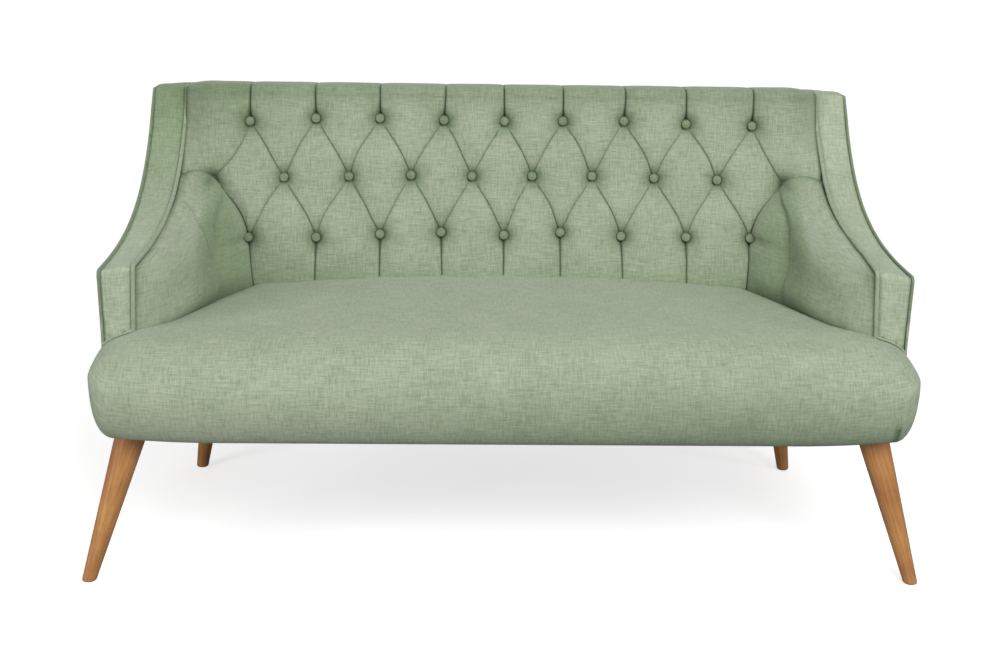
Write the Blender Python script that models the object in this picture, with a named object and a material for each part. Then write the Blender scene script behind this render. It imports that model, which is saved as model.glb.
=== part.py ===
"""Two-seater sofa with a deep-buttoned back, sloping arms and turned splayed legs.

Metres, +Z up. The origin is on the floor under the middle of the sofa, and the front faces -Y.
Each function makes one sub-part or one set of like sub-parts, from the frame out to the covers.
"""

import math

import bmesh
import bpy
import numpy as np
from mathutils import Matrix, Vector

# Overall sizes
BODY_WIDTH = 1.300  # over the outer welts of the arms
DEPTH = 0.720  # front of the seat roll to the outside back
SEAT_UNDERSIDE_Z = 0.256
SEAT_THICKNESS = 0.156  # underside to the edge of the top, where the arms stand on it
ARM_HEIGHT = 0.106  # seat edge to the knee where the arm's front turns into its top
BACK_HEIGHT = 0.3415  # seat edge to the top of the back, in a pleat
SEAT_CROWN = 0.016  # how much the middle of the seat rises above its edge

# Clearances
GAP = 0.0003  # between pieces that touch
SOFT_GAP = 0.0008  # between stuffed pieces, whose faces are coarser
OVERRUN = 0.004  # how far a cutter runs past what it cuts

# Covers
WELT_RADIUS = 0.0035
WELT_FADE = 0.010  # length over which a welt fades out at its ends
COVER_THICKNESS = 0.003  # outside panels: cloth on stiff card
FACING_INSET = 0.002  # the arm strip lies this far below the top of its welts
FACING_THICKNESS = 0.0052
FACING_CROWN = 0.003

# Arm outline, seen from the side
ARM_WIDTH = 0.065  # centre of the inner welt to the outside
ARM_SETBACK = 0.127  # front of the seat roll to the arm's front
KNEE_OVERHANG = 0.0095  # the knee stands this far in front of the arm's foot
ARM_TOP_LENGTH = 0.070  # the level length at the top of the back
ARM_TOP_DROP = 0.0035  # below the top of the back
KNEE_RADIUS = 0.010
CREST_RADIUS = 0.008
SWEEP_FRONT_LENGTH = 0.2225  # handles of the curve that sweeps from knee to crest
SWEEP_FRONT_RISE = 0.002
SWEEP_REAR_LENGTH = 0.115
SWEEP_REAR_RISE = 0.027  # above the knee
ARM_PAD_BELLY = 0.010  # swell of the arm's inside at its front

# Frame
FRAME_RAISE = 0.006  # frame above the underside of the seat roll
FRONT_RAIL_SETBACK = 0.090
RAIL_THICKNESS = 0.025
RAIL_HEIGHT = 0.073
ARM_FRAME_THICKNESS = 0.040
STRETCHER_WIDTH = 0.045
STRETCHER_HEIGHT = 0.040
SPRING_WIRE_RADIUS = 0.002
SPRING_MARGIN = 0.139  # from each side rail to the middle of the outermost spring
SPRING_HALF_WIDTH = 0.022
SPRING_ARCH = 0.0045
SPRING_CLEARANCE = 0.0017  # between the springs' tops and the filling
SPRING_SEAT = 0.012  # how far each spring's end bar lies over its rail

# Seat
NOSE_LOWER_LENGTH = 0.050  # the roll's rounding, measured back from its front
NOSE_UPPER_LENGTH = 0.105
NOSE_LOWER_HEIGHT = 0.078
SEAT_END_RADIUS = 0.036  # rounding of the roll's two ends
SEAT_TAPER = 0.003  # the filling narrows this much behind the roll
JUNCTION_SETBACK = 0.038  # the arm pads start to swell over the seat this far behind their fronts
JUNCTION_PAST_BACK = 0.002  # and end this far behind the buttoning plane
JUNCTION_PAST_BUTTON = 0.004  # and this far outside the last low button

# Back
BACK_LEAN = math.radians(18)
BACK_DEPTH = 0.210  # the sofa's rear to the buttoning plane, at the height below
CREASE_RISE = 0.018  # above the seat's edge
PILLOW_HEIGHT = 0.028  # stuffing between the pleats, in front of the buttoning plane
PILLOW_REACH = 0.052  # distance from a pleat at which the stuffing is full
PAD_THICKNESS = 0.022  # behind the buttoning plane
BOARD_THICKNESS = 0.012
BOARD_CLEARANCE = 0.006  # above the seat's crown
TOP_FILLING = 0.018  # over the board and the top rail
NOTCH_MARGIN = 0.003  # the board and the top rail narrow this far short of the arms' edges
TOP_RAIL_HEIGHT = 0.0855
BACK_RAIL_HEIGHT = 0.045
LOWER_RAIL_THICKNESS = 0.025
BACK_TOP_CROWN = 0.007
BACK_TOP_ROUNDING = 0.022
BACK_EDGE_ROLL = 0.075  # width over which the pad curves back to the arm strips
BACK_EDGE_LEAST = 0.006  # least thickness of the pad there
ARM_FOLD_RISE = 0.012  # the fold above each arm pad stays this far above it
OUTSIDE_LEAN = math.radians(6)
OUTSIDE_TOP_DROP = 0.0055  # below the top of the back

# Buttoning
CORNER_WIDTH = 0.0517  # from the tuft tucked between arm and back to the arm's strip
ROW_DROOP = 0.007  # the last button of a row sits this far below the middle one
BUTTON_RADIUS = 0.0098
BUTTON_RIM = 0.0025
BUTTON_DOME = 0.0050
BUTTON_SHANK_RADIUS = 0.002
BUTTON_RIM_SEAT = 0.0110  # back of a button's rim, in front of the buttoning plane
BUTTON_SHANK_SEAT = 0.0020

# Legs: distances are from the body's side, and from the sofa's front or rear
FRONT_FOOT_SPLAY = 0.028  # outside the body
FRONT_FOOT_SETBACK = 0.090
FRONT_TOP_INSET = 0.041
FRONT_TOP_SETBACK = 0.117
REAR_FOOT_INSET = 0.072
REAR_FOOT_SETBACK = 0.070
REAR_TOP_INSET = 0.113
REAR_TOP_SETBACK = 0.108
LEG_TOP_RADIUS = 0.0255
LEG_FOOT_RADIUS = 0.0130
LEG_EDGE_RADIUS = 0.0035
PLATE_SIZE = 0.070
PLATE_THICKNESS = 0.004
PLATE_CORNER_RADIUS = 0.008
FRONT_PLATE_INSET = 0.053
FRONT_PLATE_SETBACK = 0.127
REAR_PLATE_INSET = 0.102
REAR_PLATE_SETBACK = 0.104
BOLT_RADIUS = 0.004
BOLT_LENGTH = 0.030
DUST_COVER_THICKNESS = 0.0012
DUST_COVER_MARGIN = 0.006

# Shares and counts
ROW_shares = (0.249, 0.551, 0.838)  # heights of the rows of buttons, of the back's height
PITCH_GROWTH_share = 0.062  # the rows' last spacings are wider, by up to about twice this
SEAT_END_SINK_share = 0.75  # share of the end rounding that the roll's top takes
PLEAT_RISE_share = 0.35  # a pleat's height halfway between two buttons
LOWER_ROW_shares = (0.0, 0.5)  # rows of points between the seat and the low buttons
UPPER_ROW_shares = (0.5, 0.9)  # rows between the top buttons and the top edge
EDGE_COLUMN_shares = (0.45, 0.85)  # columns between the last pleat and the arm
TOP_ROLL_shares = (0.0, 0.35, 0.75, 1.0)  # places over the top, front to rear
TOP_CROWN_shares = (0.71, 0.99, 0.81, 0.45)  # of the crown, at those places
BUTTON_DOME_share = 0.6  # radius of the dome's flat middle, of the button's
LEG_EDGE_share = 0.3  # middle of the rounding of the leg's foot
SPRING_COUNT = 5
SPRING_WAVES = 7
POINTS_PER_WAVE = 6
LAST_BUTTON = 4  # buttons on each side of the middle one, in the top and low rows
PLEAT_STEPS = 3  # cells of the back's surface in half a pitch
SEAT_STATIONS = 14
ARM_PAD_ROWS = 9
OUTLINE_STEPS = 14
CORNER_STEPS = 4
WELT_STEPS = 8
LEG_SIDES = 16
BUTTON_SIDES = 10
BOLT_SIDES = 12

# Places that follow from the sizes above
HALF_WIDTH = BODY_WIDTH / 2
FRONT_Y = -DEPTH / 2
REAR_Y = DEPTH / 2
SEAT_EDGE_Z = SEAT_UNDERSIDE_Z + SEAT_THICKNESS
BACK_TOP_Z = SEAT_EDGE_Z + BACK_HEIGHT
OUTSIDE_TOP_Z = BACK_TOP_Z - OUTSIDE_TOP_DROP
FRAME_BOTTOM_Z = SEAT_UNDERSIDE_Z + FRAME_RAISE
RAIL_TOP_Z = FRAME_BOTTOM_Z + RAIL_HEIGHT
SEAT_SUPPORT_Z = RAIL_TOP_Z + GAP + 2 * SPRING_WIRE_RADIUS + SPRING_ARCH + SPRING_CLEARANCE
WELT_X = HALF_WIDTH - WELT_RADIUS
INNER_WELT_X = HALF_WIDTH - ARM_WIDTH
FACING_OUTER_X = WELT_X - WELT_RADIUS - GAP
FRAME_OUTER_X = WELT_X - COVER_THICKNESS / 2 - GAP
FRAME_INNER_X = FRAME_OUTER_X - ARM_FRAME_THICKNESS
INSIDE_X = FRAME_INNER_X - GAP
PAD_EDGE_X = INNER_WELT_X - WELT_RADIUS - GAP
FRAME_INSET = FACING_INSET + FACING_THICKNESS + GAP
LEG_HEIGHT = FRAME_BOTTOM_Z - PLATE_THICKNESS - 2 * GAP
ARM_FRONT_Y = FRONT_Y + ARM_SETBACK
ARM_KNEE_Y = ARM_FRONT_Y - KNEE_OVERHANG
ARM_KNEE_Z = SEAT_EDGE_Z + ARM_HEIGHT
ARM_CREST_Y = REAR_Y - ARM_TOP_LENGTH
ARM_CREST_Z = BACK_TOP_Z - ARM_TOP_DROP
FRONT_RAIL_Y = FRONT_Y + FRONT_RAIL_SETBACK
CREASE_Y = REAR_Y - BACK_DEPTH
CREASE_Z = SEAT_EDGE_Z + CREASE_RISE
BOARD_BOTTOM_Z = SEAT_EDGE_Z + SEAT_CROWN + BOARD_CLEARANCE
BOARD_TOP_Z = BACK_TOP_Z - TOP_FILLING
LOW_ROW_Z, MIDDLE_ROW_Z, TOP_ROW_Z = [SEAT_EDGE_Z + BACK_HEIGHT * share for share in ROW_shares]
HIDDEN_TUFT_X = PAD_EDGE_X - CORNER_WIDTH  # the tufts tucked between arm and back
JUNCTION_FRONT_Y = ARM_FRONT_Y + JUNCTION_SETBACK
JUNCTION_REAR_Y = CREASE_Y + JUNCTION_PAST_BACK
FRONT_PLATE = (HALF_WIDTH - FRONT_PLATE_INSET, FRONT_Y + FRONT_PLATE_SETBACK)
REAR_PLATE = (HALF_WIDTH - REAR_PLATE_INSET, REAR_Y - REAR_PLATE_SETBACK)


def crease_y(z):
    """The buttoning plane's Y at height z."""
    return CREASE_Y + (z - CREASE_Z) * math.tan(BACK_LEAN)


def board_y(z):
    """The front face of the back board at height z."""
    return crease_y(z) + PAD_THICKNESS


def rear_y(z):
    """The inner face of the outside back at height z, less a gap."""
    top = REAR_Y - COVER_THICKNESS - GAP
    return top - (OUTSIDE_TOP_Z - z) * math.tan(OUTSIDE_LEAN)


def tuft_x(number):
    """X of a tuft, counted from the middle one: the spacing grows a little towards the arms."""
    share = number / (LAST_BUTTON + 1 / 2)
    return HIDDEN_TUFT_X * share * (1 + PITCH_GROWTH_share * (share**2 - 1))


def droop(x):
    """How far a row of buttons has dropped at x."""
    return ROW_DROOP * (x / tuft_x(LAST_BUTTON)) ** 2


REAR_RAIL_Y = rear_y(FRAME_BOTTOM_Z) - GAP
LAST_BUTTON_X = tuft_x(LAST_BUTTON)
JUNCTION_REAR_X = LAST_BUTTON_X + JUNCTION_PAST_BUTTON


def finish(name, colour, roughness, metallic=0.0):
    """A material from a colour in linear RGB."""
    made = bpy.data.materials.new(name)
    made.use_nodes = True
    made.diffuse_color = (*colour, 1.0)
    shader = made.node_tree.nodes["Principled BSDF"]
    shader.inputs["Base Color"].default_value = (*colour, 1.0)
    shader.inputs["Roughness"].default_value = roughness
    shader.inputs["Metallic"].default_value = metallic
    return made


def closed_mesh(name, points, faces, material, sharp_angle=math.radians(40)):
    """A mesh of one closed body, with its faces turned outwards."""
    mesh = bpy.data.meshes.new(name)
    mesh.from_pydata([tuple(map(float, point)) for point in points], [], faces)
    work = bmesh.new()
    work.from_mesh(mesh)
    bmesh.ops.recalc_face_normals(work, faces=work.faces)
    work.to_mesh(mesh)
    work.free()
    mesh.shade_smooth()
    mesh.set_sharp_from_angle(angle=sharp_angle)
    mesh.materials.append(material)
    return mesh


def add(name, data):
    """An object of this mesh or curve in the scene."""
    made = bpy.data.objects.new(name, data)
    bpy.context.scene.collection.objects.link(made)
    return made


def loft(name, rings, material):
    """A body through closed rings that all have as many points, with a face over each end."""
    size = len(rings[0])
    points = [point for ring in rings for point in ring]
    faces = [tuple(range(size)), tuple(range(len(points) - size, len(points)))]
    for first in range(0, len(points) - size, size):
        for i in range(size):
            j = (i + 1) % size
            faces.append((first + i, first + j, first + size + j, first + size + i))
    return add(name, closed_mesh(name, points, faces, material))


def bar(name, outline, low_x, high_x, material):
    """A straight bar along X with the given outline in Y and Z."""
    return loft(name, [[(x, y, z) for y, z in outline] for x in (low_x, high_x)], material)


def sheet(name, outline, low_z, high_z, material):
    """A flat piece with the given outline in X and Y."""
    return loft(name, [[(x, y, z) for x, y in outline] for z in (low_z, high_z)], material)


def rectangle(low_a, low_b, high_a, high_b):
    return [(low_a, low_b), (high_a, low_b), (high_a, high_b), (low_a, high_b)]


def corner_arc(before, corner, after, radius):
    """Points of the arc that rounds a path's corner."""
    corner = np.array(corner)
    to_before = np.array(before) - corner
    to_after = np.array(after) - corner
    to_before = to_before / np.linalg.norm(to_before)
    to_after = to_after / np.linalg.norm(to_after)
    half = math.acos(to_before @ to_after) / 2
    bisector = (to_before + to_after) / np.linalg.norm(to_before + to_after)
    centre = corner + bisector * radius / math.sin(half)
    start = corner + to_before * radius / math.tan(half) - centre
    end = corner + to_after * radius / math.tan(half) - centre
    turn = math.pi - 2 * half
    share = np.linspace(0, 1, CORNER_STEPS + 1)[:, None]
    return centre + (np.sin((1 - share) * turn) * start + np.sin(share * turn) * end) / math.sin(turn)


def sweep_curve(start, handle_a, handle_b, end):
    """Inner points of a cubic curve from start to end."""
    t = np.linspace(0, 1, OUTLINE_STEPS + 1)[1:-1, None]
    start, handle_a, handle_b, end = map(np.array, (start, handle_a, handle_b, end))
    near = (1 - t) ** 3 * start + 3 * (1 - t) ** 2 * t * handle_a
    return near + 3 * (1 - t) * t**2 * handle_b + t**3 * end


def arm_outline(start_z):
    """The arm's edge seen from the side: up its front, over the knee and up to the top of the back."""
    front = (ARM_FRONT_Y, SEAT_EDGE_Z + GAP)
    rear = (rear_y(ARM_CREST_Z - FRAME_INSET), ARM_CREST_Z)
    handle_a = (ARM_KNEE_Y + SWEEP_FRONT_LENGTH, ARM_KNEE_Z + SWEEP_FRONT_RISE)
    handle_b = (ARM_CREST_Y - SWEEP_REAR_LENGTH, ARM_KNEE_Z + SWEEP_REAR_RISE)
    knee = corner_arc(front, (ARM_KNEE_Y, ARM_KNEE_Z), handle_a, KNEE_RADIUS)
    crest = corner_arc(handle_b, (ARM_CREST_Y, ARM_CREST_Z), rear, CREST_RADIUS)
    sweep = sweep_curve(knee[-1], handle_a, handle_b, crest[0])
    path = np.vstack([[front], knee, sweep, crest, [rear]])
    return np.vstack([[(ARM_FRONT_Y, start_z)], path]) if start_z < front[1] else path


def inwards(path, closed=False):
    """For each point of a path, the step to its right that moves both its sides by one unit."""
    ends = np.vstack([path, path[:1]]) if closed else path
    along = np.diff(ends, axis=0)
    along = along / np.linalg.norm(along, axis=1)[:, None]
    right = np.stack([along[:, 1], -along[:, 0]], axis=1)
    before = np.vstack([right[-1:], right[:-1]]) if closed else np.vstack([right[:1], right])
    after = right if closed else np.vstack([right, right[-1:]])
    middle = before + after
    middle = middle / np.linalg.norm(middle, axis=1)[:, None]
    return middle / np.einsum("ij,ij->i", middle, after)[:, None]


def inset_outline(start_z, distance):
    """The arm's edge moved inwards."""
    path = arm_outline(start_z)
    return path + inwards(path) * distance


def seat_frame(wood):
    """Four rails round the seat and a stretcher across its middle."""
    side_x = INSIDE_X - RAIL_THICKNESS
    front_back = FRONT_RAIL_Y + RAIL_THICKNESS
    rear_front = REAR_RAIL_Y - RAIL_THICKNESS
    front = rectangle(FRONT_RAIL_Y, FRAME_BOTTOM_Z, front_back, RAIL_TOP_Z)
    rear = rectangle(rear_front, FRAME_BOTTOM_Z, REAR_RAIL_Y, RAIL_TOP_Z)
    side = rectangle(FRONT_RAIL_Y, FRAME_BOTTOM_Z, REAR_RAIL_Y, RAIL_TOP_Z)
    stretcher_top = FRAME_BOTTOM_Z + STRETCHER_HEIGHT
    stretcher = rectangle(front_back + GAP, FRAME_BOTTOM_Z, rear_front - GAP, stretcher_top)
    bar("seat_front_rail", front, GAP - side_x, side_x - GAP, wood)
    bar("seat_rear_rail", rear, GAP - side_x, side_x - GAP, wood)
    bar("seat_side_rail_left", side, -INSIDE_X, -side_x, wood)
    bar("seat_side_rail_right", side, side_x, INSIDE_X, wood)
    bar("seat_centre_stretcher", stretcher, -STRETCHER_WIDTH / 2, STRETCHER_WIDTH / 2, wood)


def seat_springs(steel):
    """Zigzag springs from the front rail to the rear rail, arched up a little between them."""
    first_y = FRONT_RAIL_Y + SPRING_SEAT
    last_y = REAR_RAIL_Y - SPRING_SEAT
    base_z = RAIL_TOP_Z + GAP + SPRING_WIRE_RADIUS
    last_x = INSIDE_X - RAIL_THICKNESS - SPRING_MARGIN
    share = np.linspace(0, 1, SPRING_WAVES * POINTS_PER_WAVE + 1)
    turns = np.tanh(2.2 * np.cos(share * SPRING_WAVES * 2 * math.pi))
    for number, middle_x in enumerate(np.linspace(-last_x, last_x, SPRING_COUNT)):
        x = middle_x + SPRING_HALF_WIDTH * turns
        y = first_y + (last_y - first_y) * share
        z = base_z + SPRING_ARCH * np.sin(share * math.pi)
        curve = bpy.data.curves.new(f"seat_spring_{number + 1}", "CURVE")
        curve.dimensions = "3D"
        curve.bevel_depth = SPRING_WIRE_RADIUS
        curve.bevel_resolution = 1
        curve.use_fill_caps = True
        curve.materials.append(steel)
        spline = curve.splines.new("POLY")
        spline.points.add(len(share) - 1)
        for point, place in zip(spline.points, zip(x, y, z)):
            point.co = (*place, 1.0)
        add(curve.name, curve)


def junction_x(y):
    """Half the seat's visible width at y, where the arm pads meet it."""
    share = np.clip((y - JUNCTION_FRONT_Y) / (JUNCTION_REAR_Y - JUNCTION_FRONT_Y), 0, 1)
    return PAD_EDGE_X - (PAD_EDGE_X - JUNCTION_REAR_X) * share


def seat_top_z(x, y):
    """The seat's top: level where the arms stand on it, and crowned between them."""
    across = np.clip(np.abs(x) / junction_x(y), 0, 1)
    return SEAT_EDGE_Z + SEAT_CROWN * (1 - across**3) ** 2


def seat_section(x, end_inset, rear, support_z):
    """The seat seen from the side: a rounded nose, a crowned top and a step over the springs or frame."""
    front_y = FRONT_Y + end_inset
    bottom_z = SEAT_UNDERSIDE_Z + end_inset
    middle_z = bottom_z + NOSE_LOWER_HEIGHT - end_inset / 2
    sink = end_inset * SEAT_END_SINK_share
    top_y = front_y + NOSE_UPPER_LENGTH
    rise = seat_top_z(x, top_y) - sink - middle_z
    step_y = FRONT_RAIL_Y - GAP
    step_z = max(support_z, bottom_z + SOFT_GAP)
    points = [(step_y, bottom_z)]
    for angle in np.linspace(0, math.pi / 2, 5)[:-1]:
        y = front_y + NOSE_LOWER_LENGTH * (1 - math.sin(angle))
        points.append((y, middle_z - (middle_z - bottom_z) * math.cos(angle)))
    for angle in np.linspace(0, math.pi / 2, 7)[:-1]:
        y = top_y - NOSE_UPPER_LENGTH * math.cos(angle)
        points.append((y, middle_z + rise * math.sin(angle)))
    for y in np.linspace(top_y, rear, 8):
        points.append((y, float(seat_top_z(x, y)) - sink))
    return points + [(rear, step_z), (step_y, step_z)]


def seat_pad(cloth):
    """The tight seat: filling and cover over the springs, with a front roll that runs past the arms."""
    roll_rear = ARM_FRONT_Y - GAP
    under_arm = FRAME_BOTTOM_Z + GAP
    between_arms = np.linspace(0, INSIDE_X - SEAT_TAPER, SEAT_STATIONS)
    stations = [(x, 0.0, REAR_RAIL_Y, SEAT_SUPPORT_Z) for x in between_arms]
    stations.append((INSIDE_X, 0.0, roll_rear, SEAT_SUPPORT_Z))
    stations.append((INSIDE_X + SEAT_TAPER, 0.0, roll_rear, under_arm))
    for angle in np.linspace(0, math.pi / 2, 5):
        x = HALF_WIDTH - SEAT_END_RADIUS * (1 - math.sin(angle))
        stations.append((x, SEAT_END_RADIUS * (1 - math.cos(angle)), roll_rear, under_arm))
    left = [(-x, *rest) for x, *rest in reversed(stations[1:])]
    rings = []
    for x, end_inset, rear, support_z in left + stations:
        rings.append([(x, y, z) for y, z in seat_section(x, end_inset, rear, support_z)])
    loft("seat_pad", rings, cloth)


def dust_cover(cloth):
    """Thin cloth tacked under the rails, cut away round the four leg plates."""
    reach = PLATE_SIZE / 2 + DUST_COVER_MARGIN
    side_x = INSIDE_X - DUST_COVER_MARGIN
    front_x, front_y = FRONT_PLATE
    rear_x, rear_y = REAR_PLATE
    right = [
        (front_x - reach, FRONT_RAIL_Y + DUST_COVER_MARGIN),
        (front_x - reach, front_y + reach),
        (side_x, front_y + reach),
        (side_x, rear_y - reach),
        (rear_x - reach, rear_y - reach),
        (rear_x - reach, REAR_RAIL_Y - DUST_COVER_MARGIN),
    ]
    outline = right + [(-x, y) for x, y in reversed(right)]
    top = FRAME_BOTTOM_Z - GAP
    sheet("dust_cover", outline, top - DUST_COVER_THICKNESS, top, cloth)


def arm_frames(wood):
    """The two built-up arm panels that stand beside the seat rails and carry the back."""
    edge = inset_outline(FRAME_BOTTOM_Z, FRAME_INSET)
    edge[-1, 0] = rear_y(edge[-1, 1]) - GAP
    outline = np.vstack([edge, [(rear_y(FRAME_BOTTOM_Z) - GAP, FRAME_BOTTOM_Z)]])
    for side, name in ((-1, "arm_frame_left"), (1, "arm_frame_right")):
        bar(name, outline, side * FRAME_INNER_X, side * FRAME_OUTER_X, wood)


def arm_pads(cloth):
    """The stuffed insides of the arms, which swell towards the seat and into the back's corners."""
    edge = inset_outline(SEAT_EDGE_Z, FRAME_INSET)
    top_edge = edge[np.argmin(edge[:, 0]) :]
    front_y = ARM_FRONT_Y + FRAME_INSET
    bottom_z = SEAT_EDGE_Z + SOFT_GAP
    outer_x = INSIDE_X - GAP
    depth = crease_y(top_edge[:, 1]) - SOFT_GAP - front_y
    along = (top_edge[:, 0] - front_y) / depth
    shares = [0.0, *along[(along > 0) & (along < 1)], 1.0]

    def place_y(z, share):
        return front_y + (crease_y(z) - SOFT_GAP - front_y) * share

    rings = []
    for share in shares:
        top_z = float(np.interp(share, along, top_edge[:, 1]))
        section = [(outer_x, bottom_z), (outer_x, top_z), (PAD_EDGE_X, top_z)]
        for down in np.linspace(0, 1, ARM_PAD_ROWS)[1:]:
            z = top_z + (bottom_z - top_z) * down
            swell = (PAD_EDGE_X - float(junction_x(place_y(z, share)))) * math.sin(down * math.pi / 2) ** 0.8
            belly = ARM_PAD_BELLY * math.sin(down * math.pi) * (1 - share)
            section.append((PAD_EDGE_X - swell - belly, z))
        rings.append([(x, place_y(z, share), z) for x, z in section])
    for side, name in ((-1, "arm_pad_left"), (1, "arm_pad_right")):
        loft(name, [[(side * x, y, z) for x, y, z in ring] for ring in rings], cloth)


def facing_section():
    """The strip's section as (X, depth below the outline): a crowned ribbon with a welt on its inner edge."""
    under = FACING_INSET + FACING_THICKNESS
    points = [(FACING_OUTER_X, under), (FACING_OUTER_X, FACING_INSET)]
    bead_end = math.radians(35)
    ribbon_x = INNER_WELT_X + WELT_RADIUS * math.cos(bead_end)
    for share in np.linspace(0, 1, 5)[1:-1]:
        x = FACING_OUTER_X + (ribbon_x - FACING_OUTER_X) * share
        points.append((x, FACING_INSET - FACING_CROWN * math.sin(share * math.pi)))
    for angle in np.linspace(bead_end, 2 * math.pi - bead_end, WELT_STEPS + 1):
        x = INNER_WELT_X + WELT_RADIUS * math.cos(angle)
        points.append((x, WELT_RADIUS * (1 - math.sin(angle))))
    return points + [(ribbon_x + GAP, under)]


def arm_facings(cloth):
    """The narrow padded strips over the arms' front and top edges, each with its inner welt."""
    path = arm_outline(SEAT_EDGE_Z + GAP)
    step = inwards(path)
    for side, name in ((-1, "arm_facing_left"), (1, "arm_facing_right")):
        rings = []
        for point, inward in zip(path, step):
            places = [(x, point + inward * depth) for x, depth in facing_section()]
            rings.append([(side * x, y, z) for x, (y, z) in places])
        loft(name, rings, cloth)


def outside_arms(cloth):
    """The outside arm covers: flat panels with a welt along their front and top edges.

    A section of the edge is a bead of the welt's radius, which closes on the panel's two faces.
    The bead fades to a plain rounded edge at its ends, and runs on so along the rear and bottom.
    """
    path = arm_outline(FRAME_BOTTOM_Z)
    fade_low = (ARM_FRONT_Y, FRAME_BOTTOM_Z + WELT_FADE)
    fade_high = (path[-1, 0] - WELT_FADE, ARM_CREST_Z)
    rear_foot = (rear_y(FRAME_BOTTOM_Z), FRAME_BOTTOM_Z)
    outline = np.vstack([path[:1], [fade_low], path[1:-1], [fade_high], path[-1:], [rear_foot]])
    plain = COVER_THICKNESS / 2
    radii = np.full(len(outline), WELT_RADIUS)
    radii[[0, -2, -1]] = plain
    step = inwards(outline, closed=True)
    count = WELT_STEPS + 1
    for side, name in ((-1, "outside_arm_left"), (1, "outside_arm_right")):
        points = []
        for point, inward, radius in zip(outline, step, radii):
            start = math.asin(plain / radius)
            for angle in np.linspace(start, 2 * math.pi - start, count):
                y, z = point + inward * radius * (1 + math.cos(angle))
                points.append((side * (WELT_X + radius * math.sin(angle)), y, z))
        total = len(points)
        faces = [tuple(range(0, total, count)), tuple(range(count - 1, total, count))]
        for first in range(0, total, count):
            after = (first + count) % total
            for i in range(count - 1):
                faces.append((first + i, first + i + 1, after + i + 1, after + i))
        add(name, closed_mesh(name, points, faces, cloth))


def notch_z():
    """The height at which the arms' edges come near the front face of the back board."""
    edge = inset_outline(SEAT_EDGE_Z, FRAME_INSET)
    rising = edge[edge[:, 1] > ARM_KNEE_Z]
    return float(np.interp(-NOTCH_MARGIN, rising[:, 0] - board_y(rising[:, 1]), rising[:, 1]))


def notched_panel(name, low_z, high_z, front, rear, material):
    """A panel across the back between two leaning faces, narrower above the arms' edges."""
    notch = notch_z()
    right = [(INSIDE_X, low_z), (INSIDE_X, notch), (PAD_EDGE_X, notch), (PAD_EDGE_X, high_z)]
    outline = right + [(-x, z) for x, z in reversed(right)]
    loft(name, [[(x, face(z), z) for x, z in outline] for face in (front, rear)], material)


def back_frame(board_wood, wood):
    """The leaning back board, with a rail behind its top and another behind its lower edge."""

    def board_front(z):
        return board_y(z) + GAP

    def board_rear(z):
        return board_y(z) + GAP + BOARD_THICKNESS

    def rail_front(z):
        return board_rear(z) + GAP

    def top_rail_rear(z):
        return rear_y(z) - GAP

    low_top = BOARD_BOTTOM_Z + BACK_RAIL_HEIGHT
    lower_rail = [
        (rail_front(BOARD_BOTTOM_Z), BOARD_BOTTOM_Z),
        (rail_front(BOARD_BOTTOM_Z) + LOWER_RAIL_THICKNESS, BOARD_BOTTOM_Z),
        (rail_front(low_top) + LOWER_RAIL_THICKNESS, low_top),
        (rail_front(low_top), low_top),
    ]
    notched_panel("back_board", BOARD_BOTTOM_Z, BOARD_TOP_Z, board_front, board_rear, board_wood)
    rail_bottom = BOARD_TOP_Z - TOP_RAIL_HEIGHT
    notched_panel("back_top_rail", rail_bottom, BOARD_TOP_Z, rail_front, top_rail_rear, wood)
    bar("back_lower_rail", lower_rail, -INSIDE_X, INSIDE_X, wood)


def outside_back(cloth):
    """The flat cover over the rear."""
    low_y = rear_y(FRAME_BOTTOM_Z) + GAP
    high_y = rear_y(OUTSIDE_TOP_Z) + GAP
    outline = [
        (low_y, FRAME_BOTTOM_Z),
        (low_y + COVER_THICKNESS, FRAME_BOTTOM_Z),
        (high_y + COVER_THICKNESS, OUTSIDE_TOP_Z),
        (high_y, OUTSIDE_TOP_Z),
    ]
    half = WELT_X + COVER_THICKNESS / 2
    bar("outside_back", outline, -half, half, cloth)


def row_places(row_z, last):
    """(X, Z) of the tufts of a row that reaches from -last to last, one apart."""
    x = tuft_x(np.arange(-last, last + 1))
    return list(zip(x, row_z - droop(x)))


def button_places():
    """(row name, X, Z) of each button: nine above, eight between them, nine below."""
    rows = (
        ("top", TOP_ROW_Z, LAST_BUTTON),
        ("middle", MIDDLE_ROW_Z, LAST_BUTTON - 1 / 2),
        ("low", LOW_ROW_Z, LAST_BUTTON),
    )
    return [(name, x, z) for name, row_z, last in rows for x, z in row_places(row_z, last)]


def pleats():
    """Ends of each pleat, as (X, Z): diamonds between the rows and straight folds above and below."""
    between = row_places(MIDDLE_ROW_Z, LAST_BUTTON + 1 / 2)
    found = []
    for row_z, end_z in ((LOW_ROW_Z, SEAT_EDGE_Z), (TOP_ROW_Z, BACK_TOP_Z)):
        for number, tuft in enumerate(row_places(row_z, LAST_BUTTON)):
            found.append((tuft, between[number]))
            found.append((tuft, between[number + 1]))
            found.append((tuft, (tuft[0], end_z)))
    return found


def arm_fold():
    """The line on the back, right-hand side, that bounds what the arm pad covers, as (X, Z)."""
    top_z = float(np.interp(0, arm_fold_gap()[:, 0], arm_fold_gap()[:, 1]))
    return [
        (INSIDE_X, top_z + ARM_FOLD_RISE),
        (PAD_EDGE_X, top_z + ARM_FOLD_RISE),
        (HIDDEN_TUFT_X, MIDDLE_ROW_Z - droop(HIDDEN_TUFT_X)),
        (LAST_BUTTON_X, LOW_ROW_Z - droop(LAST_BUTTON_X)),
        (LAST_BUTTON_X, SEAT_EDGE_Z),
    ]


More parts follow.
